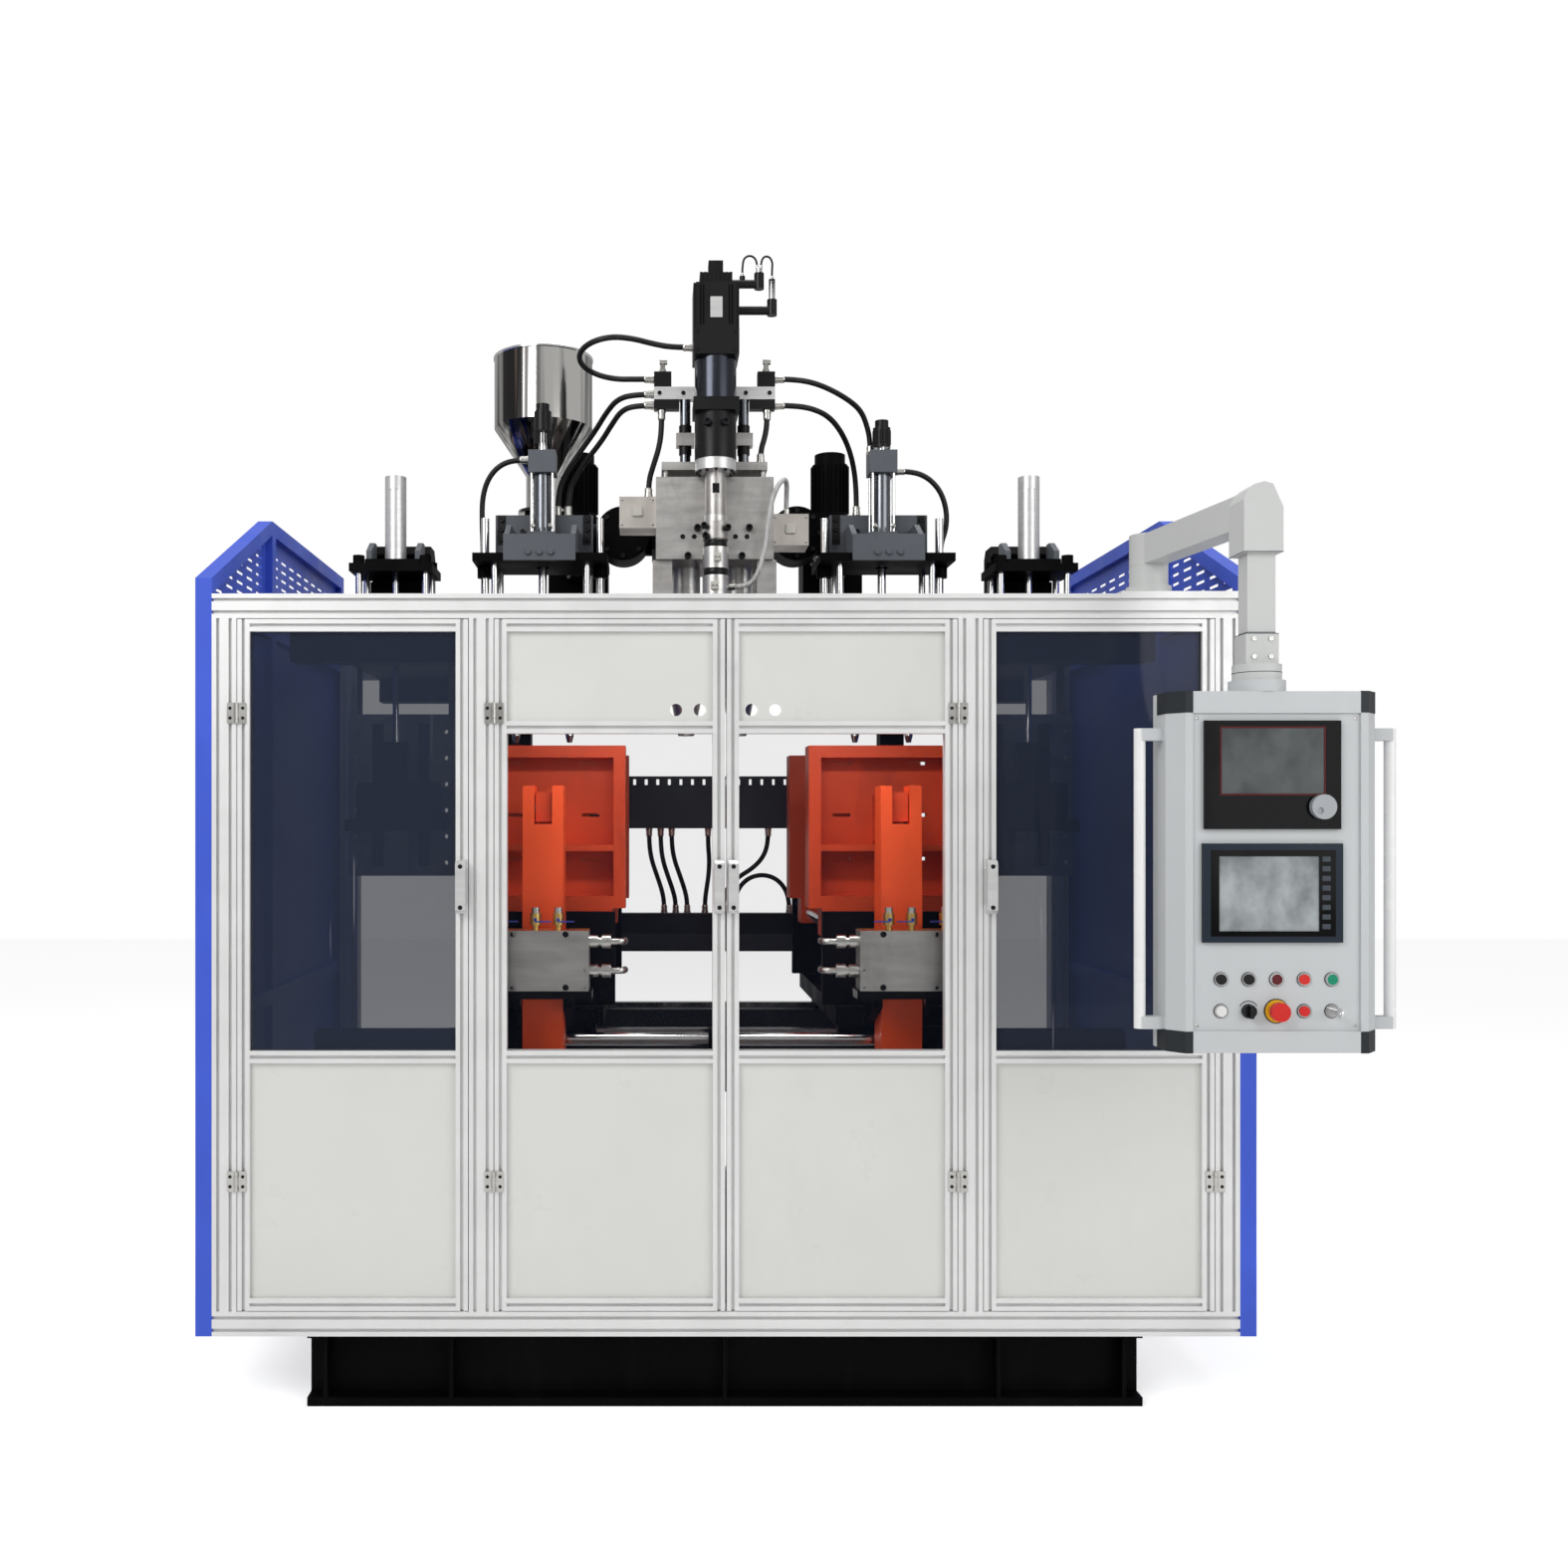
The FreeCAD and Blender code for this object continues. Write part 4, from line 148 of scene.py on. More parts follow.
def finish_surface(made, tone, tone_scale, grain, grain_scale, stretch=(1, 1, 1), rough=0.08, dirt=None):
    """Gives a material its cloudy tone, uneven gloss, fine grain and dirt in patches drawn out upright."""
    tree = made.node_tree
    shader = tree.nodes["Principled BSDF"]
    base = tuple(shader.inputs["Base Color"].default_value)[:3]
    cloud = noise(tree, tone_scale, stretch, 4.0)
    darker = tuple(c * (1 - tone) for c in base)
    lighter = tuple(min(1.0, c * (1 + tone)) for c in base)
    color = blend_color(tree, spread(tree, cloud, 0.3, 0.7, 0, 1), darker, lighter)
    if dirt:
        spots = noise(tree, dirt[1], (1, 1, 0.35), 6.0, 0.7)
        stain = spread(tree, spots, 0.52, 0.72, 0, dirt[2])
        color = blend_color(tree, stain, color, dirt[0])
    tree.links.new(color, shader.inputs["Base Color"])
    level = shader.inputs["Roughness"].default_value
    gloss = noise(tree, tone_scale * 2.3, stretch, 3.0)
    tree.links.new(spread(tree, gloss, 0.3, 0.7, level - rough, level + rough), shader.inputs["Roughness"])
    fine = noise(tree, grain_scale, stretch, 2.0)
    bump = add_node(tree, "ShaderNodeBump", Strength=grain, Distance=0.0006)
    tree.links.new(fine, bump.inputs["Height"])
    tree.links.new(bump.outputs["Normal"], shader.inputs["Normal"])
    return made


THIN_DIRT = ((0.05, 0.045, 0.04), 6, 0.35)
NO_DIRT = None


def painted(name, color, roughness=0.4, tone=0.06, dirt=THIN_DIRT, grain=0.12, gloss=0.5):
    """Paint or plastic; dirt is its colour, scale and share."""
    made = new_material(name, color, 0, roughness, Specular_IOR_Level=gloss)
    return finish_surface(made, tone, 3, grain, 420, dirt=dirt)


def metal(name, color, roughness=0.3, tone=0.08, stretch=(1, 1, 1), grain=0.15, dirt=None,
          grain_scale=300, shine=1.0):
    """Bare or plated metal; shine is its metallic share, lower under an anodised skin."""
    made = new_material(name, color, shine, roughness)
    return finish_surface(made, tone, 7, grain, grain_scale, stretch, 0.06, dirt)


metal("anodised", (0.80, 0.80, 0.795), 0.46, 0.04, grain=0.06, grain_scale=900, shine=0.45)
metal("cut_aluminium", (0.74, 0.74, 0.735), 0.36, 0.06, (1, 1, 14), 0.1, shine=0.7)
metal("milled", (0.41, 0.40, 0.385), 0.40, 0.16, (1, 1, 5), 0.2, ((0.12, 0.10, 0.08), 9, 0.35))
metal("machined", (0.50, 0.485, 0.47), 0.40, 0.16, (1, 1, 5), 0.2, ((0.12, 0.10, 0.08), 9, 0.35))
metal("chrome", (0.78, 0.78, 0.78), 0.16, 0.04, grain=0.03)
metal("nickel", (0.60, 0.59, 0.56), 0.26, 0.06, grain=0.06)
metal("heater_band", (0.62, 0.61, 0.59), 0.36, 0.10, (1, 1, 6), 0.2, ((0.25, 0.2, 0.14), 12, 0.3))
metal("warm_sheet", (0.66, 0.61, 0.57), 0.36, 0.07, grain=0.08)
metal("brass", (0.72, 0.48, 0.16), 0.28, 0.10, grain=0.05)
metal("black_oxide", (0.030, 0.030, 0.033), 0.42, 0.2, grain=0.1)
metal("tube_steel", (0.19, 0.20, 0.22), 0.22, 0.08, (1, 1, 0.3), 0.05)
metal("dark_steel", (0.055, 0.06, 0.075), 0.20, 0.08, (1, 1, 0.3), 0.05)
painted("blue", (0.052, 0.108, 0.62), 0.42, 0.08, ((0.035, 0.05, 0.22), 5, 0.3), gloss=0.25)
painted("black", (0.0022, 0.0022, 0.0025), 0.52, 0.2, ((0.010, 0.0095, 0.009), 5, 0.4), gloss=0.05)
painted("slate", (0.112, 0.123, 0.141), 0.42, 0.08, grain=0.1, gloss=0.3)
painted("dark_slate", (0.016, 0.018, 0.024), 0.46, 0.12, gloss=0.2)
painted("beam_slate", (0.045, 0.052, 0.064), 0.46, 0.12, gloss=0.2)
painted("orange", (0.90, 0.095, 0.020), 0.40, 0.08, ((0.34, 0.035, 0.012), 7, 0.45), 0.2, 0.3)
# a darker copy of the orange paint: painted shade that falls on the platens inside the guard
painted("orange_painted_shade", (0.66, 0.068, 0.018), 0.44, 0.10, ((0.25, 0.026, 0.01), 7, 0.45), 0.2, 0.25)
painted("sheet_white", (0.69, 0.69, 0.665), 0.34, 0.02, ((0.45, 0.44, 0.40), 4, 0.10), 0.05, 0.3)
painted("arm_white", (0.56, 0.57, 0.56), 0.40, 0.02, ((0.40, 0.40, 0.37), 5, 0.12), 0.06, 0.3)
painted("panel_grey", (0.53, 0.55, 0.56), 0.45, 0.02, ((0.38, 0.38, 0.37), 5, 0.10), 0.12, 0.3)
painted("cap_grey", (0.022, 0.026, 0.030), 0.45, 0.08, NO_DIRT, 0.2, 0.2)
painted("gloss_black", (0.003, 0.003, 0.0035), 0.12, 0.1, NO_DIRT, 0.02, 0.08)
painted("satin_black", (0.007, 0.007, 0.008), 0.36, 0.1, NO_DIRT, 0.08, 0.25)
painted("bezel_blue", (0.014, 0.022, 0.034), 0.34, 0.05, NO_DIRT, 0.06, 0.15)
painted("key_grey", (0.05, 0.06, 0.075), 0.4, 0.05, NO_DIRT, 0.05, 0.2)
painted("red", (0.60, 0.018, 0.014), 0.30, 0.05, NO_DIRT, 0.04, 0.35)
painted("border_red", (0.075, 0.004, 0.006), 0.30, 0.05, NO_DIRT, 0.03, 0.15)
painted("dark_red", (0.10, 0.008, 0.012), 0.25, 0.05, NO_DIRT, 0.04, 0.3)
painted("green", (0.008, 0.24, 0.13), 0.22, 0.05, NO_DIRT, 0.03, 0.4)
painted("yellow", (0.80, 0.44, 0.02), 0.34, 0.04, NO_DIRT, 0.04, 0.3)
painted("white_plastic", (0.72, 0.72, 0.70), 0.34, 0.02, NO_DIRT, 0.04)
painted("dial_grey", (0.32, 0.34, 0.36), 0.36, 0.04, NO_DIRT, 0.06)
painted("tube_white", (0.84, 0.84, 0.84), 0.26, 0.02, NO_DIRT, 0.03, 0.5)
painted("ceramic", (0.62, 0.60, 0.55), 0.30, 0.05, ((0.3, 0.27, 0.22), 30, 0.4), 0.1)
painted("lever_blue", (0.02, 0.05, 0.32), 0.32, 0.05, gloss=0.3)


def rubber():
    """Hose rubber, dull and a little dusty."""
    made = new_material("rubber", (0.008, 0.008, 0.009), 0, 0.44, Specular_IOR_Level=0.35)
    return finish_surface(made, 0.2, 12, 0.35, 700, rough=0.1, dirt=((0.04, 0.037, 0.034), 14, 0.3))


def wire_bundle():
    """Many pale thin wires side by side; darker streaks along their run are painted shade in the gaps
    between them.
    """
    made = new_material("sleeve_grey", (0.52, 0.52, 0.51), 0, 0.42)
    # the tone's darker streaks along the run are painted shade in the gaps between the wires
    return finish_surface(made, 0.3, 110, 0.6, 150, (1, 1, 0.04), dirt=((0.05, 0.05, 0.05), 60, 0.6))


def window(name, tint_and_shade, depth):
    """Tinted polycarbonate: mostly clear, with faint smears and fine scratches. Its dark colour, laid over
    the view by its alpha, is partly the sheet's own and partly painted shade inside the guard.
    """
    made = new_material(name, tint_and_shade, 0, 0.05, Alpha=depth, Specular_IOR_Level=0.2)
    tree = made.node_tree
    shader = tree.nodes["Principled BSDF"]
    smear = noise(tree, 3, (1, 1, 0.4), 5.0)
    tree.links.new(spread(tree, smear, 0.35, 0.75, 0.03, 0.10), shader.inputs["Roughness"])
    scratch = noise(tree, 70, (1, 1, 0.02), 2.0)
    line = spread(tree, scratch, 0.73, 0.75, 0, 0.35)
    tree.links.new(blend_color(tree, line, tint_and_shade, (0.5, 0.5, 0.55)), shader.inputs["Base Color"])
    return made


def display(name, dark, light):
    """A sleeping display: dark glass with a pale uneven painted sheen in its colour, which stands in for
    its reflections.
    """
    made = new_material(name, dark, 0, 0.2, Specular_IOR_Level=0.2)
    tree = made.node_tree
    shader = tree.nodes["Principled BSDF"]
    # painted reflection: a pale colour mixed into the dark glass in uneven patches
    sheen = noise(tree, 9, (1, 1, 0.7), 4.0)
    share = spread(tree, sheen, 0.40, 0.60, 0, 1)
    tree.links.new(blend_color(tree, share, dark, light), shader.inputs["Base Color"])
    return made


def polished_sheet():
    """Mirror sheet rolled round: its reflections are painted into its colour as dark, bright and warm
    upright streaks.
    """
    made = new_material("polished_sheet", (0.7, 0.7, 0.69), 1, 0.10)
    tree = made.node_tree
    shader = tree.nodes["Principled BSDF"]
    # painted reflections: dark and bright upright streaks in the base colour, then warm ones over them
    reflection_streaks = spread(tree, noise(tree, 9, (1, 1, 0.02), 3.0, 0.7), 0.42, 0.56, 0, 1)
    color = blend_color(tree, reflection_streaks, (0.045, 0.042, 0.042), (0.86, 0.85, 0.82))
    warm = spread(tree, noise(tree, 21, (1, 1, 0.02), 2.0), 0.58, 0.66, 0, 0.7)
    tree.links.new(blend_color(tree, warm, color, (0.30, 0.22, 0.18)), shader.inputs["Base Color"])
    bump = add_node(tree, "ShaderNodeBump", Strength=0.25, Distance=0.002)
    tree.links.new(noise(tree, 12, (1, 1, 0.1), 2.0), bump.inputs["Height"])
    tree.links.new(bump.outputs["Normal"], shader.inputs["Normal"])
    return made


rubber()
polished_sheet()
wire_bundle()
display("display", (0.17, 0.19, 0.20), (0.38, 0.41, 0.42))
display("dim_display", (0.040, 0.048, 0.050), (0.080, 0.090, 0.090))
# the dark colour and alpha of both windows also paint the shade inside the guard: a little on the middle
# doors, much on the side doors
window("window", (0.010, 0.014, 0.030), 0.09)
window("side_window_painted_shade", (0.022, 0.030, 0.054), 0.62)


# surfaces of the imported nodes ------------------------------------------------
# A test takes a face's middle and normal; its numbers are bounds, in metres, round the faces meant.


def paint(node, rest, *rules):
    """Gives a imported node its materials. Each rule names one and a test of a face's middle and normal."""
    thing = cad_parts[node]
    names = list(dict.fromkeys([rest, *[name for name, _ in rules]]))
    thing.data.materials.clear()
    for name in names:
        thing.data.materials.append(MATERIALS[name])
    if not rules:
        return
    for face in thing.data.polygons:
        for name, test in rules:
            if test(*face.center, face.normal):
                face.material_index = names.index(name)
                break
        else:
            face.material_index = 0


def near(value, target, reach):
    """Whether a value or its opposite lies within reach of a target."""
    return abs(abs(value) - target) <= reach


def round_bar(x, y, radius, low, high):
    """A test for an upright round bar between two heights, and for its mirror image."""
    return lambda px, py, pz, n: math.hypot(abs(px) - abs(x), py - y) <= radius and low <= pz <= high


def corner_bars(middle, across, along, radius, low, high):
    """A test for four upright bars at the corners of a unit, and for their mirror images."""
    return lambda x, y, z, n: (near(abs(x) - middle, across, radius) and near(y - CLAMP_Y, along, radius)
                               and low <= z <= high)


def frame_surfaces():
    """Base, guard, doors and machine frame."""
    paint("base_frame", "black")
    hinge_leaves = lambda x, y, z, n: y < FRONT - 0.0005
    paint("guard_frame", "anodised", ("nickel", hinge_leaves))
    pull = lambda x, y, z, n: 1.1 < z < 1.4
    for number in (1, 2, 3, 4):
        paint(f"door_{number}_frame", "anodised")
        paint(f"door_{number}_window", "window" if number in (2, 3) else "side_window_painted_shade")
        paint(f"door_{number}_panels", "sheet_white")
        paint(f"door_{number}_fittings", "nickel", ("cut_aluminium", pull))
    paint("side_guards", "blue")
    rails = lambda x, y, z, n: 0.851 < z < 0.871 and near(y - CLAMP_Y, 0.3, 0.0155)
    traverse_rods = lambda x, y, z, n: math.hypot(y + 0.41, z - 0.862) < 0.019 and abs(x) > 0.031
    manifold = lambda x, y, z, n: 1.061 < z < 1.131 and abs(x) < 0.33
    deck = lambda x, y, z, n: z > 1.845
    rail_beams = lambda x, y, z, n: 0.69 < z < 0.852 and abs(y - CLAMP_Y) < 0.35
    rear_beams = lambda x, y, z, n: y > 0.704 and 0.99 < z < 1.61
    paint("machine_frame", "black", ("chrome", rails), ("chrome", traverse_rods),
          ("black_oxide", manifold), ("dark_slate", deck), ("dark_slate", rail_beams),
          ("beam_slate", rear_beams))


def station_surfaces():
    """Clamping stations, each about its own x0."""
    for side, sign in (("left", -1), ("right", 1)):
        x0 = sign * STATION_X
        bars = lambda x, y, z, n: (near(x - x0, 0.14, 0.021) and 1.139 < z < 1.181
                                   and abs(y - CLAMP_Y) < 0.401)
        pivots = lambda x, y, z, n: near(x - x0, 0.054, 0.001) and abs(z - 1.04) < 0.021
        paint(f"{side}_carriage", "black", ("chrome", bars), ("machined", pivots))
        pins = lambda x, y, z, n: abs(x - x0) < 0.0229 and min(abs(z - 1.48), abs(z - 0.64)) < 0.0125
        for place in ("front", "rear"):
            # the platens take the darker orange copy, painted shade
            paint(f"{side}_{place}_platen", "orange_painted_shade")
            paint(f"{side}_{place}_arm", "orange", ("machined", pins))
            paint(f"{side}_{place}_clamp_rod", "chrome")
        block_top, valve_top, block_bottom = 1.171, 1.214, 1.0211
        levers = lambda x, y, z, n: y < -0.6545 and block_top < z
        valves = lambda x, y, z, n: block_top < z < valve_top
        caps = lambda x, y, z, n: valve_top <= z
        pipes = lambda x, y, z, n: -sign * (x - x0) > 0.1225
        foot = lambda x, y, z, n: z <= block_bottom
        paint(f"{side}_valve_block", "milled", ("lever_blue", levers), ("brass", valves),
              ("nickel", caps), ("nickel", pipes), ("black", foot))


def unit_surfaces():
    """Blow and trim units with their moving heads."""
    columns = corner_bars(BLOW_X, 0.135, 0.08, 0.0105, 1.94, 2.2005)
    bracket_front = lambda x, y, z, n: y < CLAMP_Y - 0.1205
    plate = lambda x, y, z, n: 2.1705 <= z <= 2.2255
    tube = round_bar(BLOW_X, CLAMP_Y, 0.0255, 2.304, 2.478)
    ties = corner_bars(BLOW_X, 0.031, 0.031, 0.0045, 2.304, 2.478)
    neck = round_bar(BLOW_X, CLAMP_Y, 0.013, 2.5455, 2.607)
    sensor = round_bar(BLOW_X, CLAMP_Y, 0.027, 2.556, 2.8)
    paint("blow_units", "slate", ("chrome", columns), ("slate", bracket_front), ("black", plate),
          ("tube_steel", tube), ("chrome", ties), ("chrome", neck), ("satin_black", sensor))
    columns = corner_bars(TRIM_X, 0.098, 0.06, 0.0105, 1.94, 2.1765)
    barrel = round_bar(TRIM_X, CLAMP_Y, 0.032, 2.219, 2.48)
    drilled_plate = lambda x, y, z, n: z < 1.92 and 0.144 < y < 0.1755
    below_deck = lambda x, y, z, n: z < 1.93
    gussets = lambda x, y, z, n: y < 0.1 and z > 2.219
    paint("trim_units", "black", ("chrome", columns), ("cut_aluminium", barrel),
          ("machined", drilled_plate), ("dark_slate", below_deck), ("slate", gussets))
    guides = lambda x, y, z, n: z > 1.811
    blow_pins = lambda x, y, z, n: z < 1.7799
    shaft = lambda x, y, z, n: z > 1.681
    tip = lambda x, y, z, n: z < 1.4165
    for side in ("left", "right"):
        paint(f"{side}_blow_head", "dark_slate", ("chrome", guides), ("nickel", blow_pins))
        paint(f"{side}_trim_head", "dark_slate", ("chrome", shaft), ("machined", tip))


def die_surfaces():
    """Die head, parison drive, extruders and hopper."""
    boxes = lambda x, y, z, n: abs(x) > 0.1686
    mandrel = round_bar(0, MANDREL_Y, 0.038, 1.94, 2.31)
    bands = round_bar(0.078, CLAMP_Y, 0.043, 1.69, 2.1945)
    paint("die_head", "machined", ("warm_sheet", boxes), ("heater_band", mandrel), ("heater_band", bands))
    coupling = round_bar(0, MANDREL_Y, 0.0305, 2.308, 2.4325)
    ring = round_bar(0, MANDREL_Y, 0.0595, 2.4325, 2.4645)
    sleeve = round_bar(0, MANDREL_Y, 0.0595, 2.629, 2.748)
    yoke = lambda x, y, z, n: -0.1111 < y < -0.0801 and 2.6575 <= z <= 2.6945
    rod_blocks = lambda x, y, z, n: (-0.1161 < y < -0.0749 and abs(x) < 0.115
                                     and 2.5235 <= z <= 2.5605)
    rods = round_bar(0.084, YOKE_Y, 0.0155, 2.47, 2.657)
    connectors = lambda x, y, z, n: x > 0.114 and (z > 2.9965 or 2.9215 < z < 2.95)
    paint("parison_drive", "satin_black", ("machined", coupling), ("cut_aluminium", ring),
          ("dark_steel", sleeve), ("cut_aluminium", yoke), ("machined", rod_blocks),
          ("tube_steel", rods), ("chrome", connectors))
    barrel_bands = lambda x, y, z, n: (
        0.40 < y < 0.58 and 0.064 < math.hypot(abs(x) - EXTRUDER_X, z - EXTRUDER_Z) < 0.0725)
    paint("extruders", "black", ("heater_band", barrel_bands))
    paint("hopper", "polished_sheet")


def panel_surfaces():
    """Operator panel, its arm and its controls."""
    foot = lambda x, y, z, n: z < 2.0025
    paint("panel_arm_base", "arm_white", ("anodised", foot))
    paint("panel_arm", "arm_white")
    collar = 0.0049

    def control(column, height, radius, depth):
        middle = PANEL_X + (column - 2) * CONTROL_PITCH
        return lambda x, y, z, n: math.hypot(x - middle, z - height) < radius and y < PANEL_FRONT + depth

    def rings(x, y, z, n):
        in_a_row = min(abs(z - LOWER_ROW), abs(z - UPPER_ROW)) < 0.03
        return y < PANEL_FRONT + collar and in_a_row and abs(x - PANEL_X) < 0.15

    alarm_lamp = control(2, UPPER_ROW, 0.0112, 0.0215)
    ready_lamp = control(4, UPPER_ROW, 0.0112, 0.0215)
    stop_plate = control(2, LOWER_ROW, 0.0245, collar)
    handles = lambda x, y, z, n: near(x - PANEL_X, 0.269, 0.0125) and PANEL_LOW < z < PANEL_HIGH
    paint("panel_enclosure", "panel_grey", ("dark_red", alarm_lamp), ("green", ready_lamp),
          ("yellow", stop_plate), ("chrome", rings), ("tube_white", handles))
    glass = lambda x, y, z, n: abs(y + 1.217) < 0.0004 and n.y < -0.5
    upper_glass = lambda x, y, z, n: glass(x, y, z, n) and 1.45 <= z <= 1.70
    lower_bezel = lambda x, y, z, n: z < 1.40
    paint("panel_screens", "gloss_black", ("dim_display", upper_glass), ("display", glass),
          ("bezel_blue", lower_bezel))
    for finish, names in (
        ("satin_black", ("cycle_button", "spare_button", "cycle_selector")),
        ("red", ("mould_button_upper", "mould_button_lower", "emergency_stop")),
        ("white_plastic", ("reset_button",)),
        ("dial_grey", ("jog_dial",)),
        ("chrome", ("key_switch",)),
    ):
        for name in names:
            paint(name, finish)


frame_surfaces()
station_surfaces()
unit_surfaces()
die_surfaces()
panel_surfaces()


# hoses -----------------------------------------------------------------------


def shown(name, data, finish, body="machine"):
    """Puts a mesh or curve in the scene, on a body, with its finish."""
    thing = bpy.data.objects.new(name, data)
    bpy.context.scene.collection.objects.link(thing)
    data.materials.append(MATERIALS[finish])
    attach(thing, body)
    return thing


POINT_RADIUS = 0.003


def hose_line(name, points, radius, finish):
    """A round hose on a spline; the bounds of a curve grow by its points' radius, so that stays small."""
    curve = bpy.data.curves.new(name, "CURVE")
    curve.dimensions = "3D"
    curve.bevel_depth = radius / POINT_RADIUS
    curve.bevel_resolution = 5
    curve.resolution_u = 12
    spline = curve.splines.new("NURBS")
    spline.points.add(len(points) - 1)
    for point, place in zip(spline.points, points):
        point.co = (*place, 1)
        point.radius = POINT_RADIUS
    spline.order_u = 3
    spline.use_endpoint_u = True
    return shown(name, curve, finish)


def spline_length(thing):
    """Length of the curve's own line, measured on its points with no bevel."""
    thing.data.bevel_depth, depth = 0, thing.data.bevel_depth
    graph = bpy.context.evaluated_depsgraph_get()
    line = bpy.data.meshes.new_from_object(thing.evaluated_get(graph))
    thing.data.bevel_depth = depth
    places = [v.co.copy() for v in line.vertices]
    bpy.data.meshes.remove(line)
    return sum((b - a).length for a, b in zip(places, places[1:]))


def lathe(bm, profile, start, along, sides=24, hollow=False):
    """Turns a profile of radius and length about a line; a hollow one closes on itself as a ring."""
    turn = along.to_track_quat("Z", "Y").to_matrix()
    rings = []
    for radius, rise in profile:
        ring = []
        for n in range(sides):
            angle = 2 * math.pi * n / sides
            spot = Vector((radius * math.cos(angle), radius * math.sin(angle), rise))
            ring.append(bm.verts.new(start + turn @ spot))
        rings.append(ring)
    joined = rings + rings[:1] if hollow else rings
    for low, high in zip(joined, joined[1:]):
        for n in range(sides):
            m = (n + 1) % sides
            bm.faces.new((low[n], low[m], high[m], high[n]))
    if not hollow:
        bm.faces.new(list(reversed(rings[0])))
        bm.faces.new(rings[-1])


SHARP_ANGLE = 0.6


def piece(name, finish, fill, body="machine"):
    """A detail made in mesh code by fill(bm), on a body."""
    bm = bmesh.new()
    fill(bm)
    bmesh.ops.recalc_face_normals(bm, faces=bm.faces)
    mesh = bpy.data.meshes.new(name)
    bm.to_mesh(mesh)
    bm.free()
    for face in mesh.polygons:
        face.use_smooth = True
    mesh.set_sharp_from_angle(angle=SHARP_ANGLE)
    return shown(name, mesh, finish, body)


def slab(bm, low, high, chamfer=0.0008):
    """A block between two corners with its edges broken."""
    low, high = Vector(low), Vector(high)
    made = bmesh.ops.create_cube(bm, size=1)
    for vert in made["verts"]:
        vert.co = (low + high) / 2 + Vector([c * (b - a) for c, a, b in zip(vert.co, low, high)])
    edges = {edge for vert in made["verts"] for edge in vert.link_edges}
    bmesh.ops.bevel(bm, geom=list(edges), offset=chamfer, segments=2, affect="EDGES")


def extruded(bm, points, low, high):
    """An outline in plan, given height."""
    rings = [[bm.verts.new((x, y, z)) for x, y in points] for z in (low, high)]
    count = len(points)
    for n in range(count):
        m = (n + 1) % count
        bm.faces.new((rings[0][n], rings[0][m], rings[1][m], rings[1][n]))
    bm.faces.new(list(reversed(rings[0])))
    bm.faces.new(rings[1])


def frame_ring(bm, outer, inner, front, back):
    """A flat rectangular ring facing -Y: outer and inner are x0, x1, z0, z1."""
    def corners(box, y):
        x0, x1, z0, z1 = box
        return [bm.verts.new((x, y, z)) for x, z in ((x0, z0), (x1, z0), (x1, z1), (x0, z1))]
    loops = [corners(outer, back), corners(outer, front), corners(inner, front), corners(inner, back)]
    for first, second in zip(loops, loops[1:] + loops[:1]):
        for n in range(4):
            m = (n + 1) % 4
            bm.faces.new((first[n], first[m], second[m], second[n]))


FORWARD = Vector((0, -1, 0))
UP = Vector((0, 0, 1))


def screw(bm, place, radius, height, along=FORWARD, kind="socket"):
    """A screw head: socket has a recess, hex six flats, dome a rounded top."""
    profiles = {
        "socket": ((1, 0), (1, 0.85), (0.93, 1), (0.56, 1), (0.5, 0.4)),
        "hex": ((1, 0), (1, 0.8), (0.86, 1)),
        "dome": ((1, 0), (0.98, 0.35), (0.8, 0.75), (0.5, 1), (0.35, 0.6)),
    }
    profile = [(radius * r, height * h) for r, h in profiles[kind]]
    lathe(bm, profile, Vector(place), along, 6 if kind == "hex" else 16)


def screws(name, finish, places, radius, height, body="machine", **more):
    """One piece that holds a screw head at each place."""
    def fill(bm):
        for place in places:
            screw(bm, place, radius, height, **more)
    return piece(name, finish, fill, body)


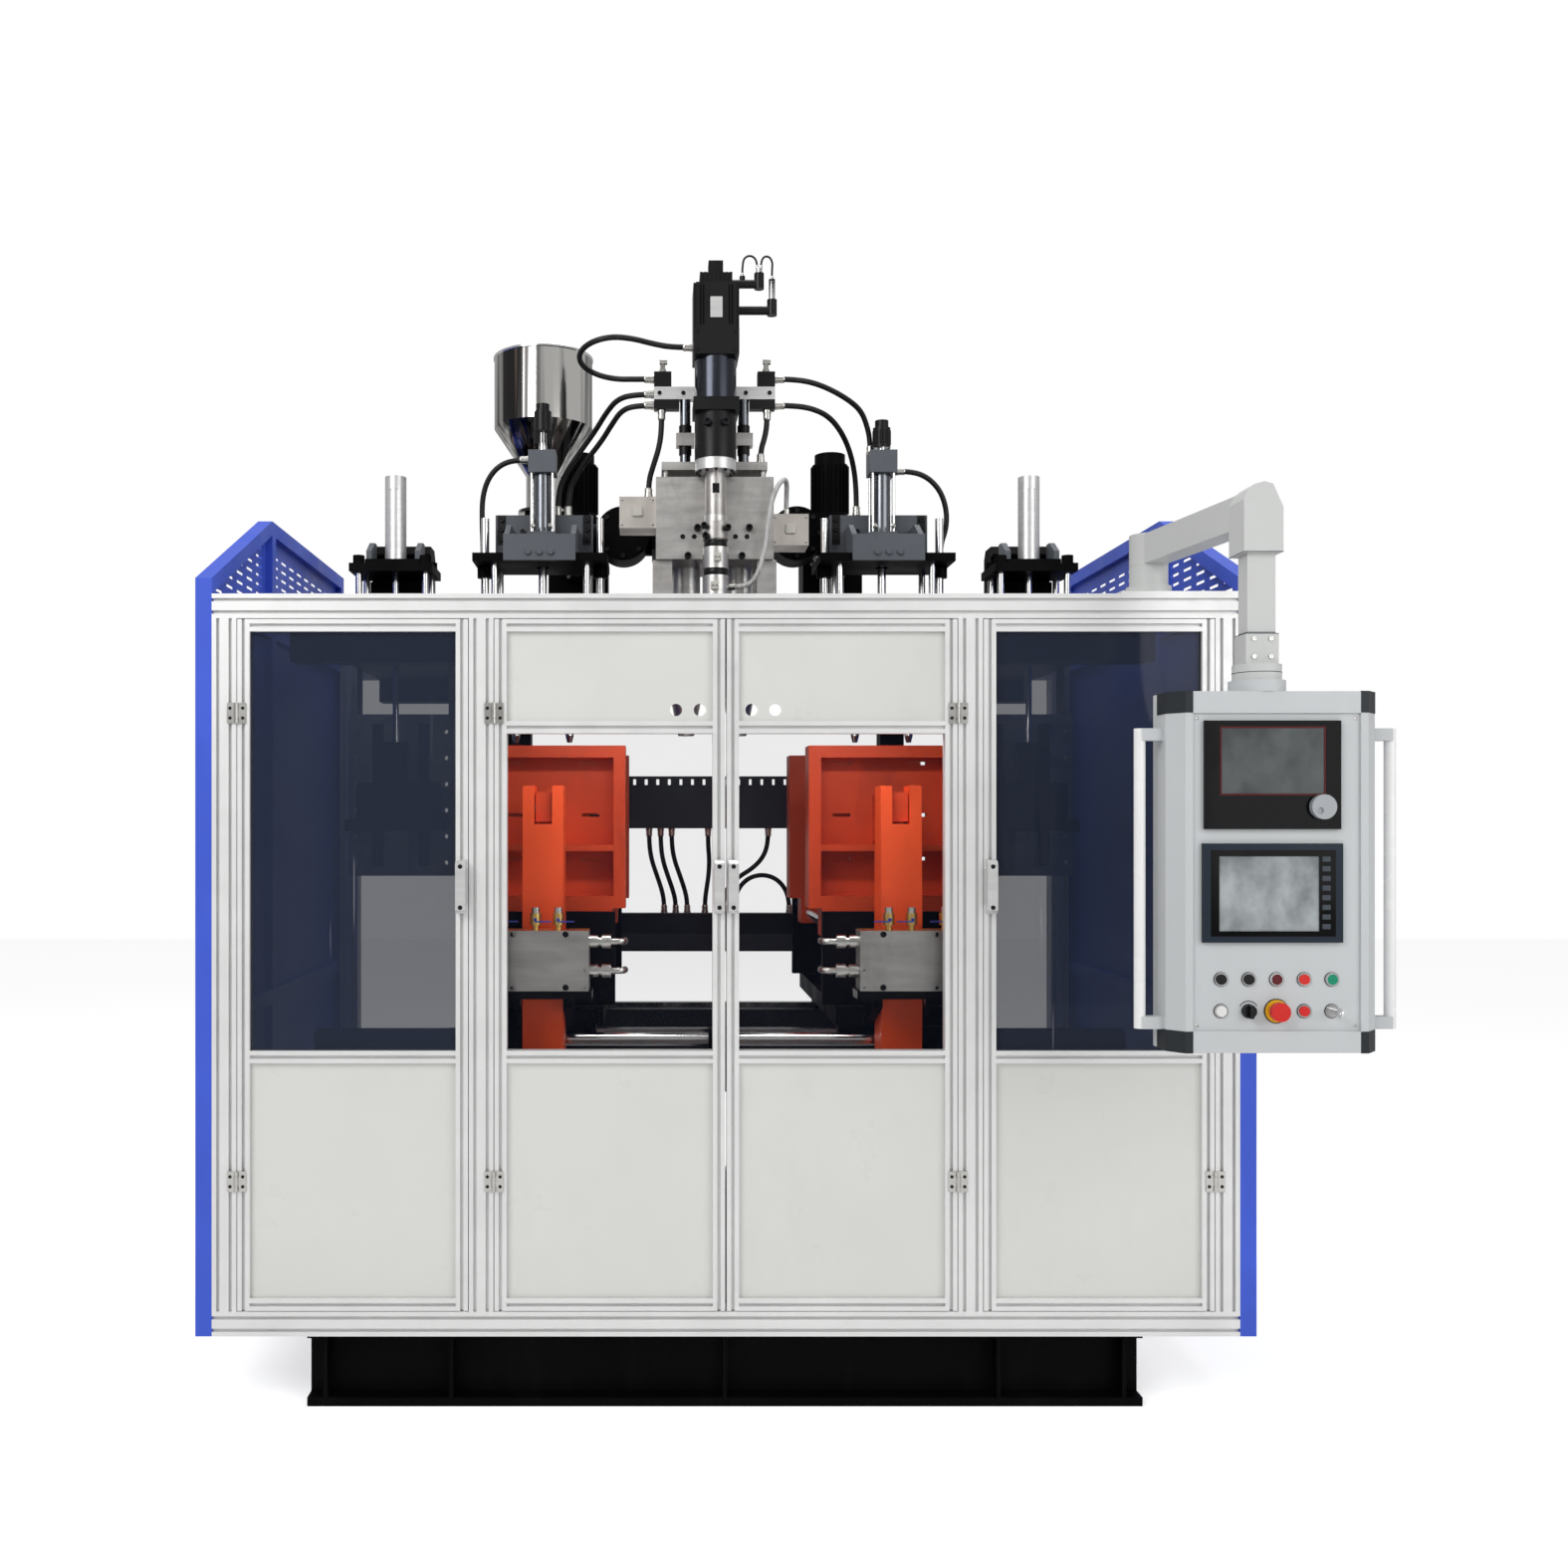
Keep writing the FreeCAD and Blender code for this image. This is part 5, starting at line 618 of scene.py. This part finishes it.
HOSE_ROUTES = {
    "hose_left_plate": (
        (-0.5465, 0.05, 2.524), (-0.592, 0.05, 2.524), (-0.637, 0.054, 2.508), (-0.671, 0.064, 2.472),
        (-0.690, 0.078, 2.418), (-0.692, 0.09, 2.344), (-0.690, 0.098, 2.278), (-0.690, 0.098, 2.225)
    ),
    "hose_right_plate": (
        (0.5465, 0.05, 2.49), (0.596, 0.05, 2.49), (0.644, 0.056, 2.474), (0.684, 0.068, 2.438),
        (0.706, 0.082, 2.386), (0.708, 0.092, 2.328), (0.690, 0.098, 2.277), (0.690, 0.098, 2.225)
    ),
    "hose_left_yoke_upper": (
        (-0.466, 0.12, 2.372), (-0.466, 0.12, 2.44), (-0.444, 0.11, 2.494), (-0.402, 0.086, 2.55),
        (-0.352, 0.044, 2.604), (-0.314, -0.018, 2.646), (-0.28, -0.074, 2.669),
        (-0.23, -0.0955, 2.676), (-0.174, -0.0955, 2.676)
    ),
    "hose_left_yoke_lower": (
        (-0.434, 0.12, 2.372), (-0.434, 0.12, 2.436), (-0.414, 0.108, 2.484), (-0.376, 0.08, 2.532),
        (-0.33, 0.036, 2.576), (-0.296, -0.024, 2.612), (-0.268, -0.074, 2.636),
        (-0.228, -0.0955, 2.644), (-0.174, -0.0955, 2.644)
    ),
    "hose_loop": (
        (-0.064, -0.17, 2.787), (-0.122, -0.17, 2.787), (-0.178, -0.192, 2.79), (-0.236, -0.232, 2.792),
        (-0.297, -0.258, 2.788), (-0.355, -0.237, 2.778), (-0.388, -0.185, 2.764),
        (-0.382, -0.125, 2.75), (-0.342, -0.083, 2.737), (-0.286, -0.076, 2.726),
        (-0.23, -0.0955, 2.72), (-0.174, -0.0955, 2.72)
    ),
    "hose_left_drop": (
        (-0.152, -0.0955, 2.63), (-0.152, -0.0955, 2.572), (-0.16, -0.088, 2.522),
        (-0.176, -0.074, 2.476), (-0.19, -0.056, 2.434), (-0.19, -0.056, 2.386)
    ),
    "hose_right_drop": (
        (0.152, -0.0955, 2.63), (0.152, -0.0955, 2.59), (0.146, -0.092, 2.553), (0.134, -0.0865, 2.516),
        (0.134, -0.0865, 2.478)
    ),
    "hose_right_upper": (
        (0.174, -0.0955, 2.72), (0.228, -0.0955, 2.72), (0.29, -0.076, 2.716), (0.352, -0.036, 2.704),
        (0.411, 0.012, 2.686), (0.445, 0.042, 2.665), (0.464, 0.066, 2.632), (0.476, 0.08, 2.59),
        (0.476, 0.08, 2.545)
    ),
    "hose_right_lower": (
        (0.174, -0.0955, 2.644), (0.226, -0.0955, 2.644), (0.284, -0.078, 2.641),
        (0.336, -0.044, 2.628), (0.376, 0.002, 2.6), (0.408, 0.05, 2.56), (0.43, 0.092, 2.506),
        (0.44, 0.118, 2.44), (0.44, 0.118, 2.372)
    ),
    "hose_rear_1": (
        (-0.19, 0.735, 1.423), (-0.19, 0.735, 1.368), (-0.181, 0.739, 1.312), (-0.163, 0.742, 1.26),
        (-0.146, 0.739, 1.21), (-0.138, 0.735, 1.17), (-0.138, 0.735, 1.13)
    ),
    "hose_rear_2": (
        (-0.15, 0.735, 1.423), (-0.15, 0.735, 1.366), (-0.142, 0.73, 1.31), (-0.125, 0.727, 1.258),
        (-0.108, 0.73, 1.21), (-0.098, 0.735, 1.17), (-0.098, 0.735, 1.13)
    ),
    "hose_rear_3": (
        (-0.112, 0.735, 1.423), (-0.112, 0.735, 1.37), (-0.103, 0.74, 1.315), (-0.084, 0.744, 1.262),
        (-0.067, 0.74, 1.212), (-0.058, 0.735, 1.172), (-0.058, 0.735, 1.13)
    ),
    "hose_rear_4": (
        (0.014, 0.735, 1.423), (0.014, 0.735, 1.367), (0.019, 0.74, 1.312), (0.016, 0.743, 1.258),
        (0.008, 0.739, 1.208), (0.003, 0.735, 1.169), (0.003, 0.735, 1.13)
    ),
    "hose_rear_5": (
        (0.222, 0.735, 1.423), (0.222, 0.735, 1.372), (0.205, 0.738, 1.322), (0.168, 0.741, 1.284),
        (0.122, 0.742, 1.256), (0.084, 0.74, 1.222), (0.066, 0.735, 1.178), (0.066, 0.735, 1.13)
    ),
    "hose_rear_arch": (
        (0.105, 0.735, 1.13), (0.105, 0.735, 1.172), (0.12, 0.733, 1.218), (0.154, 0.73, 1.252),
        (0.2, 0.728, 1.264), (0.246, 0.73, 1.252), (0.28, 0.733, 1.218), (0.295, 0.735, 1.172),
        (0.295, 0.735, 1.13)
    ),
}
CABLE_ROUTES = {
    "drive_cable_left": (
        (0.118, -0.17, 3.01), (0.118, -0.17, 3.03), (0.106, -0.17, 3.046), (0.088, -0.17, 3.046),
        (0.076, -0.17, 3.03), (0.076, -0.17, 2.988)
    ),
    "drive_cable_right": (
        (0.129, -0.17, 3.01), (0.129, -0.17, 3.03), (0.138, -0.17, 3.045), (0.153, -0.17, 3.044),
        (0.162, -0.17, 3.028), (0.16, -0.17, 3.003), (0.16, -0.17, 2.979)
    ),
}
LOOM_ROUTE = ((0.212, -0.05, 2.336), (0.212, -0.05, 2.384), (0.21, -0.092, 2.42), (0.198, -0.138, 2.424),
              (0.176, -0.166, 2.396), (0.158, -0.172, 2.348), (0.149, -0.172, 2.29), (0.143, -0.171, 2.23),
              (0.13, -0.171, 2.174), (0.113, -0.17, 2.132), (0.084, -0.17, 2.108), (0.037, -0.17, 2.108))
HOSE_RADIUS, CABLE_RADIUS, LOOM_RADIUS = 0.008, 0.003, 0.007
# ferrules, as pairs of radius and distance from the cord's end
HOSE_END = ((0.0095, 0), (0.012, 0.0005), (0.012, 0.009), (0.0108, 0.0095), (0.0108, 0.0245),
            (0.0098, 0.028))
CABLE_END = ((0.0032, 0), (0.004, 0.0005), (0.004, 0.008), (0.0034, 0.009))
LOOM_END = ((0.0075, 0), (0.009, 0.0006), (0.009, 0.016), (0.0075, 0.018))


def add_hoses():
    """Free hoses, cables and the wire loom, each from one ferrule to another."""
    ends = bmesh.new()
    lines = []
    for routes, radius, end, finish in (
        (HOSE_ROUTES, HOSE_RADIUS, HOSE_END, "rubber"),
        (CABLE_ROUTES, CABLE_RADIUS, CABLE_END, "rubber"),
        ({"wire_loom": LOOM_ROUTE}, LOOM_RADIUS, LOOM_END, "sleeve_grey"),
    ):
        for name, points in routes.items():
            spots = [Vector(point) for point in points]
            for seat, inward in ((spots[0], spots[1]), (spots[-1], spots[-2])):
                lathe(ends, end, seat, (inward - seat).normalized())
            lines.append((hose_line(name, points, radius, finish), points, radius))
    mesh = bpy.data.meshes.new("hose_ferrules")
    ends.to_mesh(mesh)
    ends.free()
    ferrules = shown("hose_ferrules", mesh, "nickel")
    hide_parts("hoses")
    for line, points, radius in lines:
        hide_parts("hoses")
        spline_length(line)


add_hoses()


# details ---------------------------------------------------------------------


def door_details():
    """Countersunk screws in the hinge leaves and the bolts of the pulls."""
    hinges = {1: (-1.189, 1), 2: (-0.564, 1), 3: (0.564, -1), 4: (1.189, -1)}
    from_pin, leaf_front, screw_rise = 0.0155, -0.7538, 0.012
    heights = [z + rise for z in HINGE_HEIGHTS for rise in (-screw_rise, screw_rise)]
    pull_inset, pull_heights = 0.012, (1.234, 1.333)
    fixed = []
    for number, (x, side) in hinges.items():
        moving = [(x + side * from_pin, leaf_front, z) for z in heights]
        fixed += [(x - side * from_pin, leaf_front, z) for z in heights]
        low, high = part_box(f"door_{number}_fittings")
        pull = low.x + pull_inset if x > 0 else high.x - pull_inset
        screws(f"door_{number}_hinge_screws", "black_oxide", moving, 0.0042, 0.0008, f"door_{number}")
        bolts = [(pull, low.y, z) for z in pull_heights]
        screws(f"door_{number}_pull_bolts", "black_oxide", bolts, 0.0055, 0.0015, f"door_{number}")
    screws("guard_hinge_screws", "black_oxide", fixed, 0.0042, 0.0008)


def valve_block_details():
    """Counterbored bolts and ports in the faces of the valve blocks, from each block's inner side."""
    inner, block_front, depth = STATION_X - 0.122, -0.668, 0.0012
    bolts = [(0.059, 1.159), (0.059, 1.028), (0.198, 1.159)]
    ports = [(0.053, 1.070), (0.0095, 1.070), (0.0095, 1.028), (0.192, 1.028), (0.214, 1.100)]
    for side, sign in (("left", -1), ("right", 1)):
        for label, spots, radius in (("bolts", bolts, 0.0095), ("ports", ports, 0.004)):
            places = [(sign * (inner + x), block_front, z) for x, z in spots]
            screws(f"{side}_block_{label}", "black_oxide", places, radius, depth, f"{side}_station")


def blow_unit_details():
    """Bolts and their strips, ribs of the sensor's cap and pipe fittings of the blow units."""
    strip_x, knurl_count, knurl_circle = 0.129, 20, 0.0258
    knurl = ((0.0016, 0), (0.002, 0.002), (0.002, 0.040), (0.0012, 0.042))
    fitting = ((0.007, 0), (0.007, 0.010), (0.005, 0.011), (0.005, 0.016))
    for side, sign in (("left", -1), ("right", 1)):
        x = sign * BLOW_X
        hexes = [(x + step, -0.084, 2.224) for step in (-0.033, 0, 0.033)]
        screws(f"{side}_front_bolts", "slate", hexes, 0.0095, 0.007, kind="hex")

        def strips(bm):
            for step in (-strip_x, strip_x):
                slab(bm, (x + step - 0.012, 0.106, 2.283), (x + step + 0.012, 0.1102, 2.371))
        piece(f"{side}_bolt_strips", "satin_black", strips)
        heads = [(x + step, 0.1062, z) for step in (-strip_x, strip_x) for z in (2.299, 2.328, 2.357)]
        heads.append((x - 0.065, 0.110, 2.322))
        screws(f"{side}_plate_bolts", "black_oxide", heads, 0.0075, 0.008)

        def knurls(bm):
            for n in range(knurl_count):
                turn = 2 * math.pi * n / knurl_count
                at = (x + knurl_circle * math.cos(turn), CLAMP_Y + knurl_circle * math.sin(turn), 2.568)
                lathe(bm, knurl, Vector(at), UP, 6)
        piece(f"{side}_cap_knurls", "satin_black", knurls)

        def fittings(bm):
            for step in (-0.0265, 0.0265):
                lathe(bm, fitting, Vector((x + step, 0.0085, 2.318)), FORWARD, 6)
        piece(f"{side}_cylinder_fittings", "nickel", fittings)


def die_details():
    """Bolts and screws of the die block and its boxes, and the fittings of the mandrel."""
    block_front, terminal_front = -0.130, MANDREL_Y - 0.046
    bores = [(s * x, block_front - 0.0002, 2.259) for s in (-1, 1) for x in (0.059, 0.092)]
    screws("die_block_bolts", "satin_black", bores, 0.0068, 0.003)
    stubs = [(x, block_front, z) for x, z in ((-0.050, 2.283), (0.098, 2.283), (-0.077, 2.203),
                                              (0.077, 2.203))]
    screws("die_clamp_screws", "satin_black", stubs, 0.010, 0.018)

    def clamp(bm):
        band = ((0.0325, 0), (0.037, 0.002), (0.037, 0.050), (0.0325, 0.052))
        lathe(bm, band, Vector((0, MANDREL_Y, 2.238)), UP, 40)
    piece("mandrel_clamp", "machined", clamp)

    def gaps(bm):
        gap = ((0.0322, 0), (0.0334, 0.002), (0.0334, 0.017), (0.0322, 0.019))
        for z in (2.0585, 2.1385, 2.2185):
            lathe(bm, gap, Vector((0, MANDREL_Y, z)), UP, 40)
        slab(bm, (-0.010, MANDREL_Y - 0.0305, 2.368), (0.010, MANDREL_Y - 0.026, 2.396))
    piece("mandrel_gaps", "satin_black", gaps)
    knobs = [(x, MANDREL_Y - 0.024, z) for x, z in ((-0.034, 2.276), (0.034, 2.27), (-0.030, 2.248))]
    screws("mandrel_clamp_knobs", "satin_black", knobs, 0.009, 0.020)

    def terminals(bm):
        for x, z in TERMINALS:
            low = (x - 0.011, terminal_front, z - 0.012)
            slab(bm, low, (x + 0.011, MANDREL_Y - 0.033, z + 0.012), 0.002)
    piece("mandrel_terminals", "ceramic", terminals)
    pins = [(x + s * 0.005, terminal_front, z) for x, z in TERMINALS for s in (-1, 1)]
    screws("terminal_screws", "nickel", pins, 0.003, 0.003)

    def sockets(bm):
        for x, z in ((-0.222, 2.342), (0.222, 2.292)):
            slab(bm, (x - 0.015, -0.083, z - 0.014), (x + 0.015, -0.0745, z + 0.014), 0.002)
    piece("box_sockets", "ceramic", sockets)
    corners = [(dx, dz) for dx in (-0.045, 0.045) for dz in (-0.036, 0.036)]
    seams = [(x + dx, -0.075, z + dz) for x, z in ((-0.222, 2.3405), (0.222, 2.2905)) for dx, dz in corners]
    screws("box_screws", "nickel", seams, 0.0035, 0.002, kind="dome")


def drive_details():
    """Plate, ribs and screws of the servo motor, screws and ports below it, and the yoke's fittings."""
    servo_front = MANDREL_Y - 0.0638

    def plate(bm):
        slab(bm, (-0.017, MANDREL_Y - 0.0655, 2.850), (0.017, servo_front, 2.908))
    piece("servo_plate", "cut_aluminium", plate)

    def ribs(bm):
        for x in (-0.044, -0.036, 0.036, 0.044):
            slab(bm, (x - 0.0016, MANDREL_Y - 0.0662, 2.830), (x + 0.0016, servo_front, 2.942))
    piece("servo_ribs", "gloss_black", ribs)
    corners = [(s * 0.052, MANDREL_Y - 0.064, z) for s in (-1, 1) for z in (2.762, 2.812)]
    screws("servo_flange_screws", "black_oxide", corners, 0.0045, 0.003)
    circle, turns = 0.052, [math.pi * n / 6 for n in range(12)]
    ring = [(circle * math.cos(a), MANDREL_Y + circle * math.sin(a), 2.4328) for a in turns]
    screws("flange_ring_screws", "black_oxide", ring, 0.0045, 0.006, along=-UP)
    ports = [(x, MANDREL_Y - 0.0575, 2.560) for x in (-0.026, 0.026)]
    screws("drive_ports", "black_oxide", ports, 0.011, 0.012)

    def elbows(bm):
        for x in (-0.149, 0.149):
            at = Vector((x, YOKE_Y, 2.738))
            lathe(bm, ((0.010, 0), (0.010, 0.010), (0.0075, 0.011), (0.0075, 0.026)), at, UP, 6)
            head = at + Vector((-0.009, 0, 0.032))
            lathe(bm, ((0.007, 0), (0.009, 0.001), (0.009, 0.022)), head, Vector((1, 0, 0)), 12)
    piece("yoke_fittings", "nickel", elbows)
    bolts = [(s * x, -0.1105, 2.676) for s in (-1, 1) for x in (0.090, 0.158)]
    screws("yoke_bolts", "black_oxide", bolts, 0.006, 0.004)


def extruder_details():
    """Cooling fins of the gear motors, bolts of gear and filter, and the hopper's rolled rim."""
    fin_count, motor_radius, fin_reach, half_fin = 24, 0.058, 0.008, 0.0015

    def fins(bm):
        for s in (-1, 1):
            for n in range(fin_count):
                turn = 2 * math.pi * n / fin_count
                out = Vector((math.cos(turn), math.sin(turn), 0))
                foot = Vector((s * EXTRUDER_X, 0.69, 2.486)) + out * motor_radius
                across = Vector((-out.y, out.x, 0)) * half_fin
                reach = out * fin_reach
                corners = [foot - across, foot + across, foot + across + reach, foot - across + reach]
                extruded(bm, [(c.x, c.y) for c in corners], 2.500, 2.660)
    piece("motor_fins", "black", fins)
    gear_circle, filter_circle = 0.077, 0.070
    bolts = []
    for s in (-1, 1):
        for n in range(8):
            turn = math.pi * (n + 0.5) / 4
            bolts.append((s * EXTRUDER_X + gear_circle * math.cos(turn), 0.593,
                          EXTRUDER_Z + gear_circle * math.sin(turn)))
    screws("gear_flange_bolts", "nickel", bolts, 0.007, 0.006, kind="hex")
    faces = [(s * 0.27 + filter_circle * math.cos(a), 0.22, EXTRUDER_Z + filter_circle * math.sin(a))
             for s in (-1, 1) for a in (math.pi * n / 4 for n in range(8))]
    screws("filter_bolts", "black_oxide", faces, 0.007, 0.008)

    def rim(bm):
        bead = ((0.1552, 0), (0.158, 0.002), (0.158, 0.007), (0.1552, 0.009), (0.1535, 0.007),
                (0.1535, 0.002))
        lathe(bm, bead, Vector((-0.525, 0.33, 2.9065)), UP, 64, hollow=True)
    piece("hopper_rim", "chrome", rim)


def panel_details():
    """Corner caps, screen frames, membrane keys, collars and screws of the operator panel."""
    cap_height, half, proud = 0.046, 0.223, 0.0008

    def caps(bm):
        for s in (-1, 1):
            outer, inner = PANEL_X + s * (half + proud), PANEL_X + s * (half - cap_height)
            bevel = PANEL_X + s * (half - 0.0295)
            front, back = PANEL_FRONT - proud, PANEL_FRONT + 0.085
            plan = [(inner, front), (bevel, front), (outer, PANEL_FRONT + 0.0335), (outer, back),
                    (inner, back)]
            for low in (PANEL_LOW - proud, PANEL_HIGH - cap_height + proud):
                extruded(bm, plan, low, low + cap_height)
    piece("panel_corner_caps", "cap_grey", caps, "panel")

    def border(bm):
        wide = 0.004
        x0, x1, z0, z1 = PANEL_X - 0.122, PANEL_X + 0.102, 1.495, 1.641
        inner = (x0 + wide, x1 - wide, z0 + wide, z1 - wide)
        frame_ring(bm, (x0, x1, z0, z1), inner, -1.2182, -1.2172)
    piece("screen_border", "border_red", border, "panel")

    def surround(bm):
        outer = (PANEL_X - 0.141, PANEL_X + 0.122, 1.198, 1.380)
        frame_ring(bm, outer, (PANEL_X - 0.1235, PANEL_X + 0.0875, 1.209, 1.367), -1.2195, -1.2188)
    piece("screen_surround", "gloss_black", surround, "panel")

    def keys(bm):
        top_key, key_pitch, half_key = 1.361, 0.0203, 0.0055
        for n in range(8):
            z = top_key - key_pitch * n
            low = (PANEL_X + 0.0925, -1.2212, z - half_key)
            slab(bm, low, (PANEL_X + 0.1105, -1.2192, z + half_key))
    piece("screen_keys", "key_grey", keys, "panel")

    def scale(bm):
        x, inner, outer = PANEL_X - CONTROL_PITCH, 0.0200, 0.0218
        arc = [math.radians(30 + 10 * n) for n in range(13)]
        for a, b in zip(arc, arc[1:]):
            corners = ((inner, a), (inner, b), (outer, b), (outer, a))
            spots = [(x + r * math.cos(t), -1.2103, LOWER_ROW + r * math.sin(t)) for r, t in corners]
            bm.faces.new([bm.verts.new(spot) for spot in spots])
    piece("selector_scale", "satin_black", scale, "panel")

    def collars(bm):
        for column in range(5):
            for z in (LOWER_ROW, UPPER_ROW):
                wide = 0.0262 if (column, z) == (2, LOWER_ROW) else 0.0152
                ring = ((wide - 0.002, 0), (wide, 0), (wide, 0.0018), (wide - 0.001, 0.0026),
                        (wide - 0.002, 0.0026))
                at = Vector((PANEL_X + (column - 2) * CONTROL_PITCH, -1.2098, z))
                lathe(bm, ring, at, FORWARD, 32, hollow=True)
    piece("control_bezels", "black_oxide", collars, "panel")
    inset = half - 0.056
    corners = [(PANEL_X + s * inset, -1.2103, z) for s in (-1, 1) for z in (1.009, 1.658)]
    screws("panel_face_screws", "nickel", corners, 0.0035, 0.0018, "panel", kind="dome")


def arm_details():
    """Screws and joint lines of the swing arm."""
    front = SWING_Y - 0.029
    heads = [(SWING_X + x, front, z) for x in (-0.018, 0.018) for z in (1.791, 1.829)]
    screws("arm_sleeve_screws", "nickel", heads, 0.0048, 0.003, "panel_arm")

    def seams(bm):
        thick, elbow_back = 0.0016, 0.004
        for wide, deep, z, back in (
            (0.0352, 0.0292, 1.8395, 0), (0.0304, 0.0244, 1.8425, 0), (0.0424, 0.0404, 2.0125, elbow_back),
        ):
            middle = SWING_Y + back
            low = (SWING_X - wide, middle - deep, z)
            slab(bm, low, (SWING_X + wide, middle + deep, z + thick), 0.0002)
        lathe(bm, ((0.0502, 0), (0.0504, 0.0014)), Vector((SWING_X, SWING_Y, 1.757)), UP, 48)
    piece("arm_seams", "key_grey", seams, "panel_arm")
    plate_x, plate_y, circle = 1.048, -0.69, 0.050
    base = [(plate_x + circle * math.cos(a), plate_y + circle * math.sin(a), 2.0144)
            for a in (0.5, 2.2, 3.6, 5.3)]
    screws("arm_base_screws", "nickel", base, 0.004, 0.0035, along=UP)


door_details()
valve_block_details()
blow_unit_details()
die_details()
drive_details()
extruder_details()
panel_details()
arm_details()


# floor and light -------------------------------------------------------------


def studio():
    """White floor that the camera sees a little brighter, white world, and five lamps."""
    scene = bpy.context.scene
    scene.view_settings.view_transform = "Standard"
    mesh = bpy.data.meshes.new("floor")
    reach = 14
    mesh.from_pydata([(-reach, -reach, 0), (reach, -reach, 0), (reach, reach, 0), (-reach, reach, 0)], [],
                     [(0, 1, 2, 3)])
    floor = bpy.data.objects.new("floor", mesh)
    scene.collection.objects.link(floor)
    made = new_material("floor", (0.93, 0.93, 0.93), 0, 0.9)
    mesh.materials.append(made)
    tree = made.node_tree
    shader, output = tree.nodes["Principled BSDF"], tree.nodes["Material Output"]
    seen = add_node(tree, "ShaderNodeLightPath")
    white = add_node(tree, "ShaderNodeEmission", Strength=0.55)
    total = add_node(tree, "ShaderNodeAddShader")
    blank = add_node(tree, "ShaderNodeMixShader")
    tree.links.new(seen.outputs["Is Camera Ray"], blank.inputs["Fac"])
    tree.links.new(shader.outputs["BSDF"], blank.inputs[1])
    tree.links.new(shader.outputs["BSDF"], total.inputs[0])
    tree.links.new(white.outputs["Emission"], total.inputs[1])
    tree.links.new(total.outputs["Shader"], blank.inputs[2])
    tree.links.new(blank.outputs["Shader"], output.inputs["Surface"])

    world = bpy.data.worlds.new("world")
    scene.world = world
    world.use_nodes = True
    tree = world.node_tree
    background = tree.nodes["Background"]
    background.inputs["Color"].default_value = (1, 1, 1, 1)
    seen = add_node(tree, "ShaderNodeLightPath")
    direct = add_node(tree, "ShaderNodeMath", operation="MAXIMUM")
    tree.links.new(seen.outputs["Is Camera Ray"], direct.inputs[0])
    tree.links.new(seen.outputs["Is Transmission Ray"], direct.inputs[1])
    strength = spread(tree, direct.outputs[0], 0, 1, 0.42, 1.0)
    tree.links.new(strength, background.inputs["Strength"])

    for name, place, aim, (wide, deep), power in (
        ("key", (-3.2, -4.6, 4.6), (0, 0, 1.2), (3.0, 3.0), 150),
        ("fill", (3.6, -4.2, 2.6), (0, 0, 1.2), (3.2, 3.2), 75),
        ("top", (0.3, 0.4, 5.2), (0, 0, 1.4), (3.5, 3.5), 90),
        ("inside_left", (-0.30, -0.65, 1.80), (-0.30, -0.50, 1.1), (0.4, 0.06), 2.0),
        ("inside_right", (0.30, -0.65, 1.80), (0.30, -0.50, 1.1), (0.4, 0.06), 2.0),
    ):
        data = bpy.data.lights.new(name, "AREA")
        data.shape = "RECTANGLE"
        data.size, data.size_y = wide, deep
        data.energy = power
        lamp = bpy.data.objects.new(name, data)
        lamp.location = place
        lamp.rotation_euler = (Vector(aim) - Vector(place)).to_track_quat("-Z", "Y").to_euler()
        scene.collection.objects.link(lamp)


studio()

bpy.context.view_layer.update()
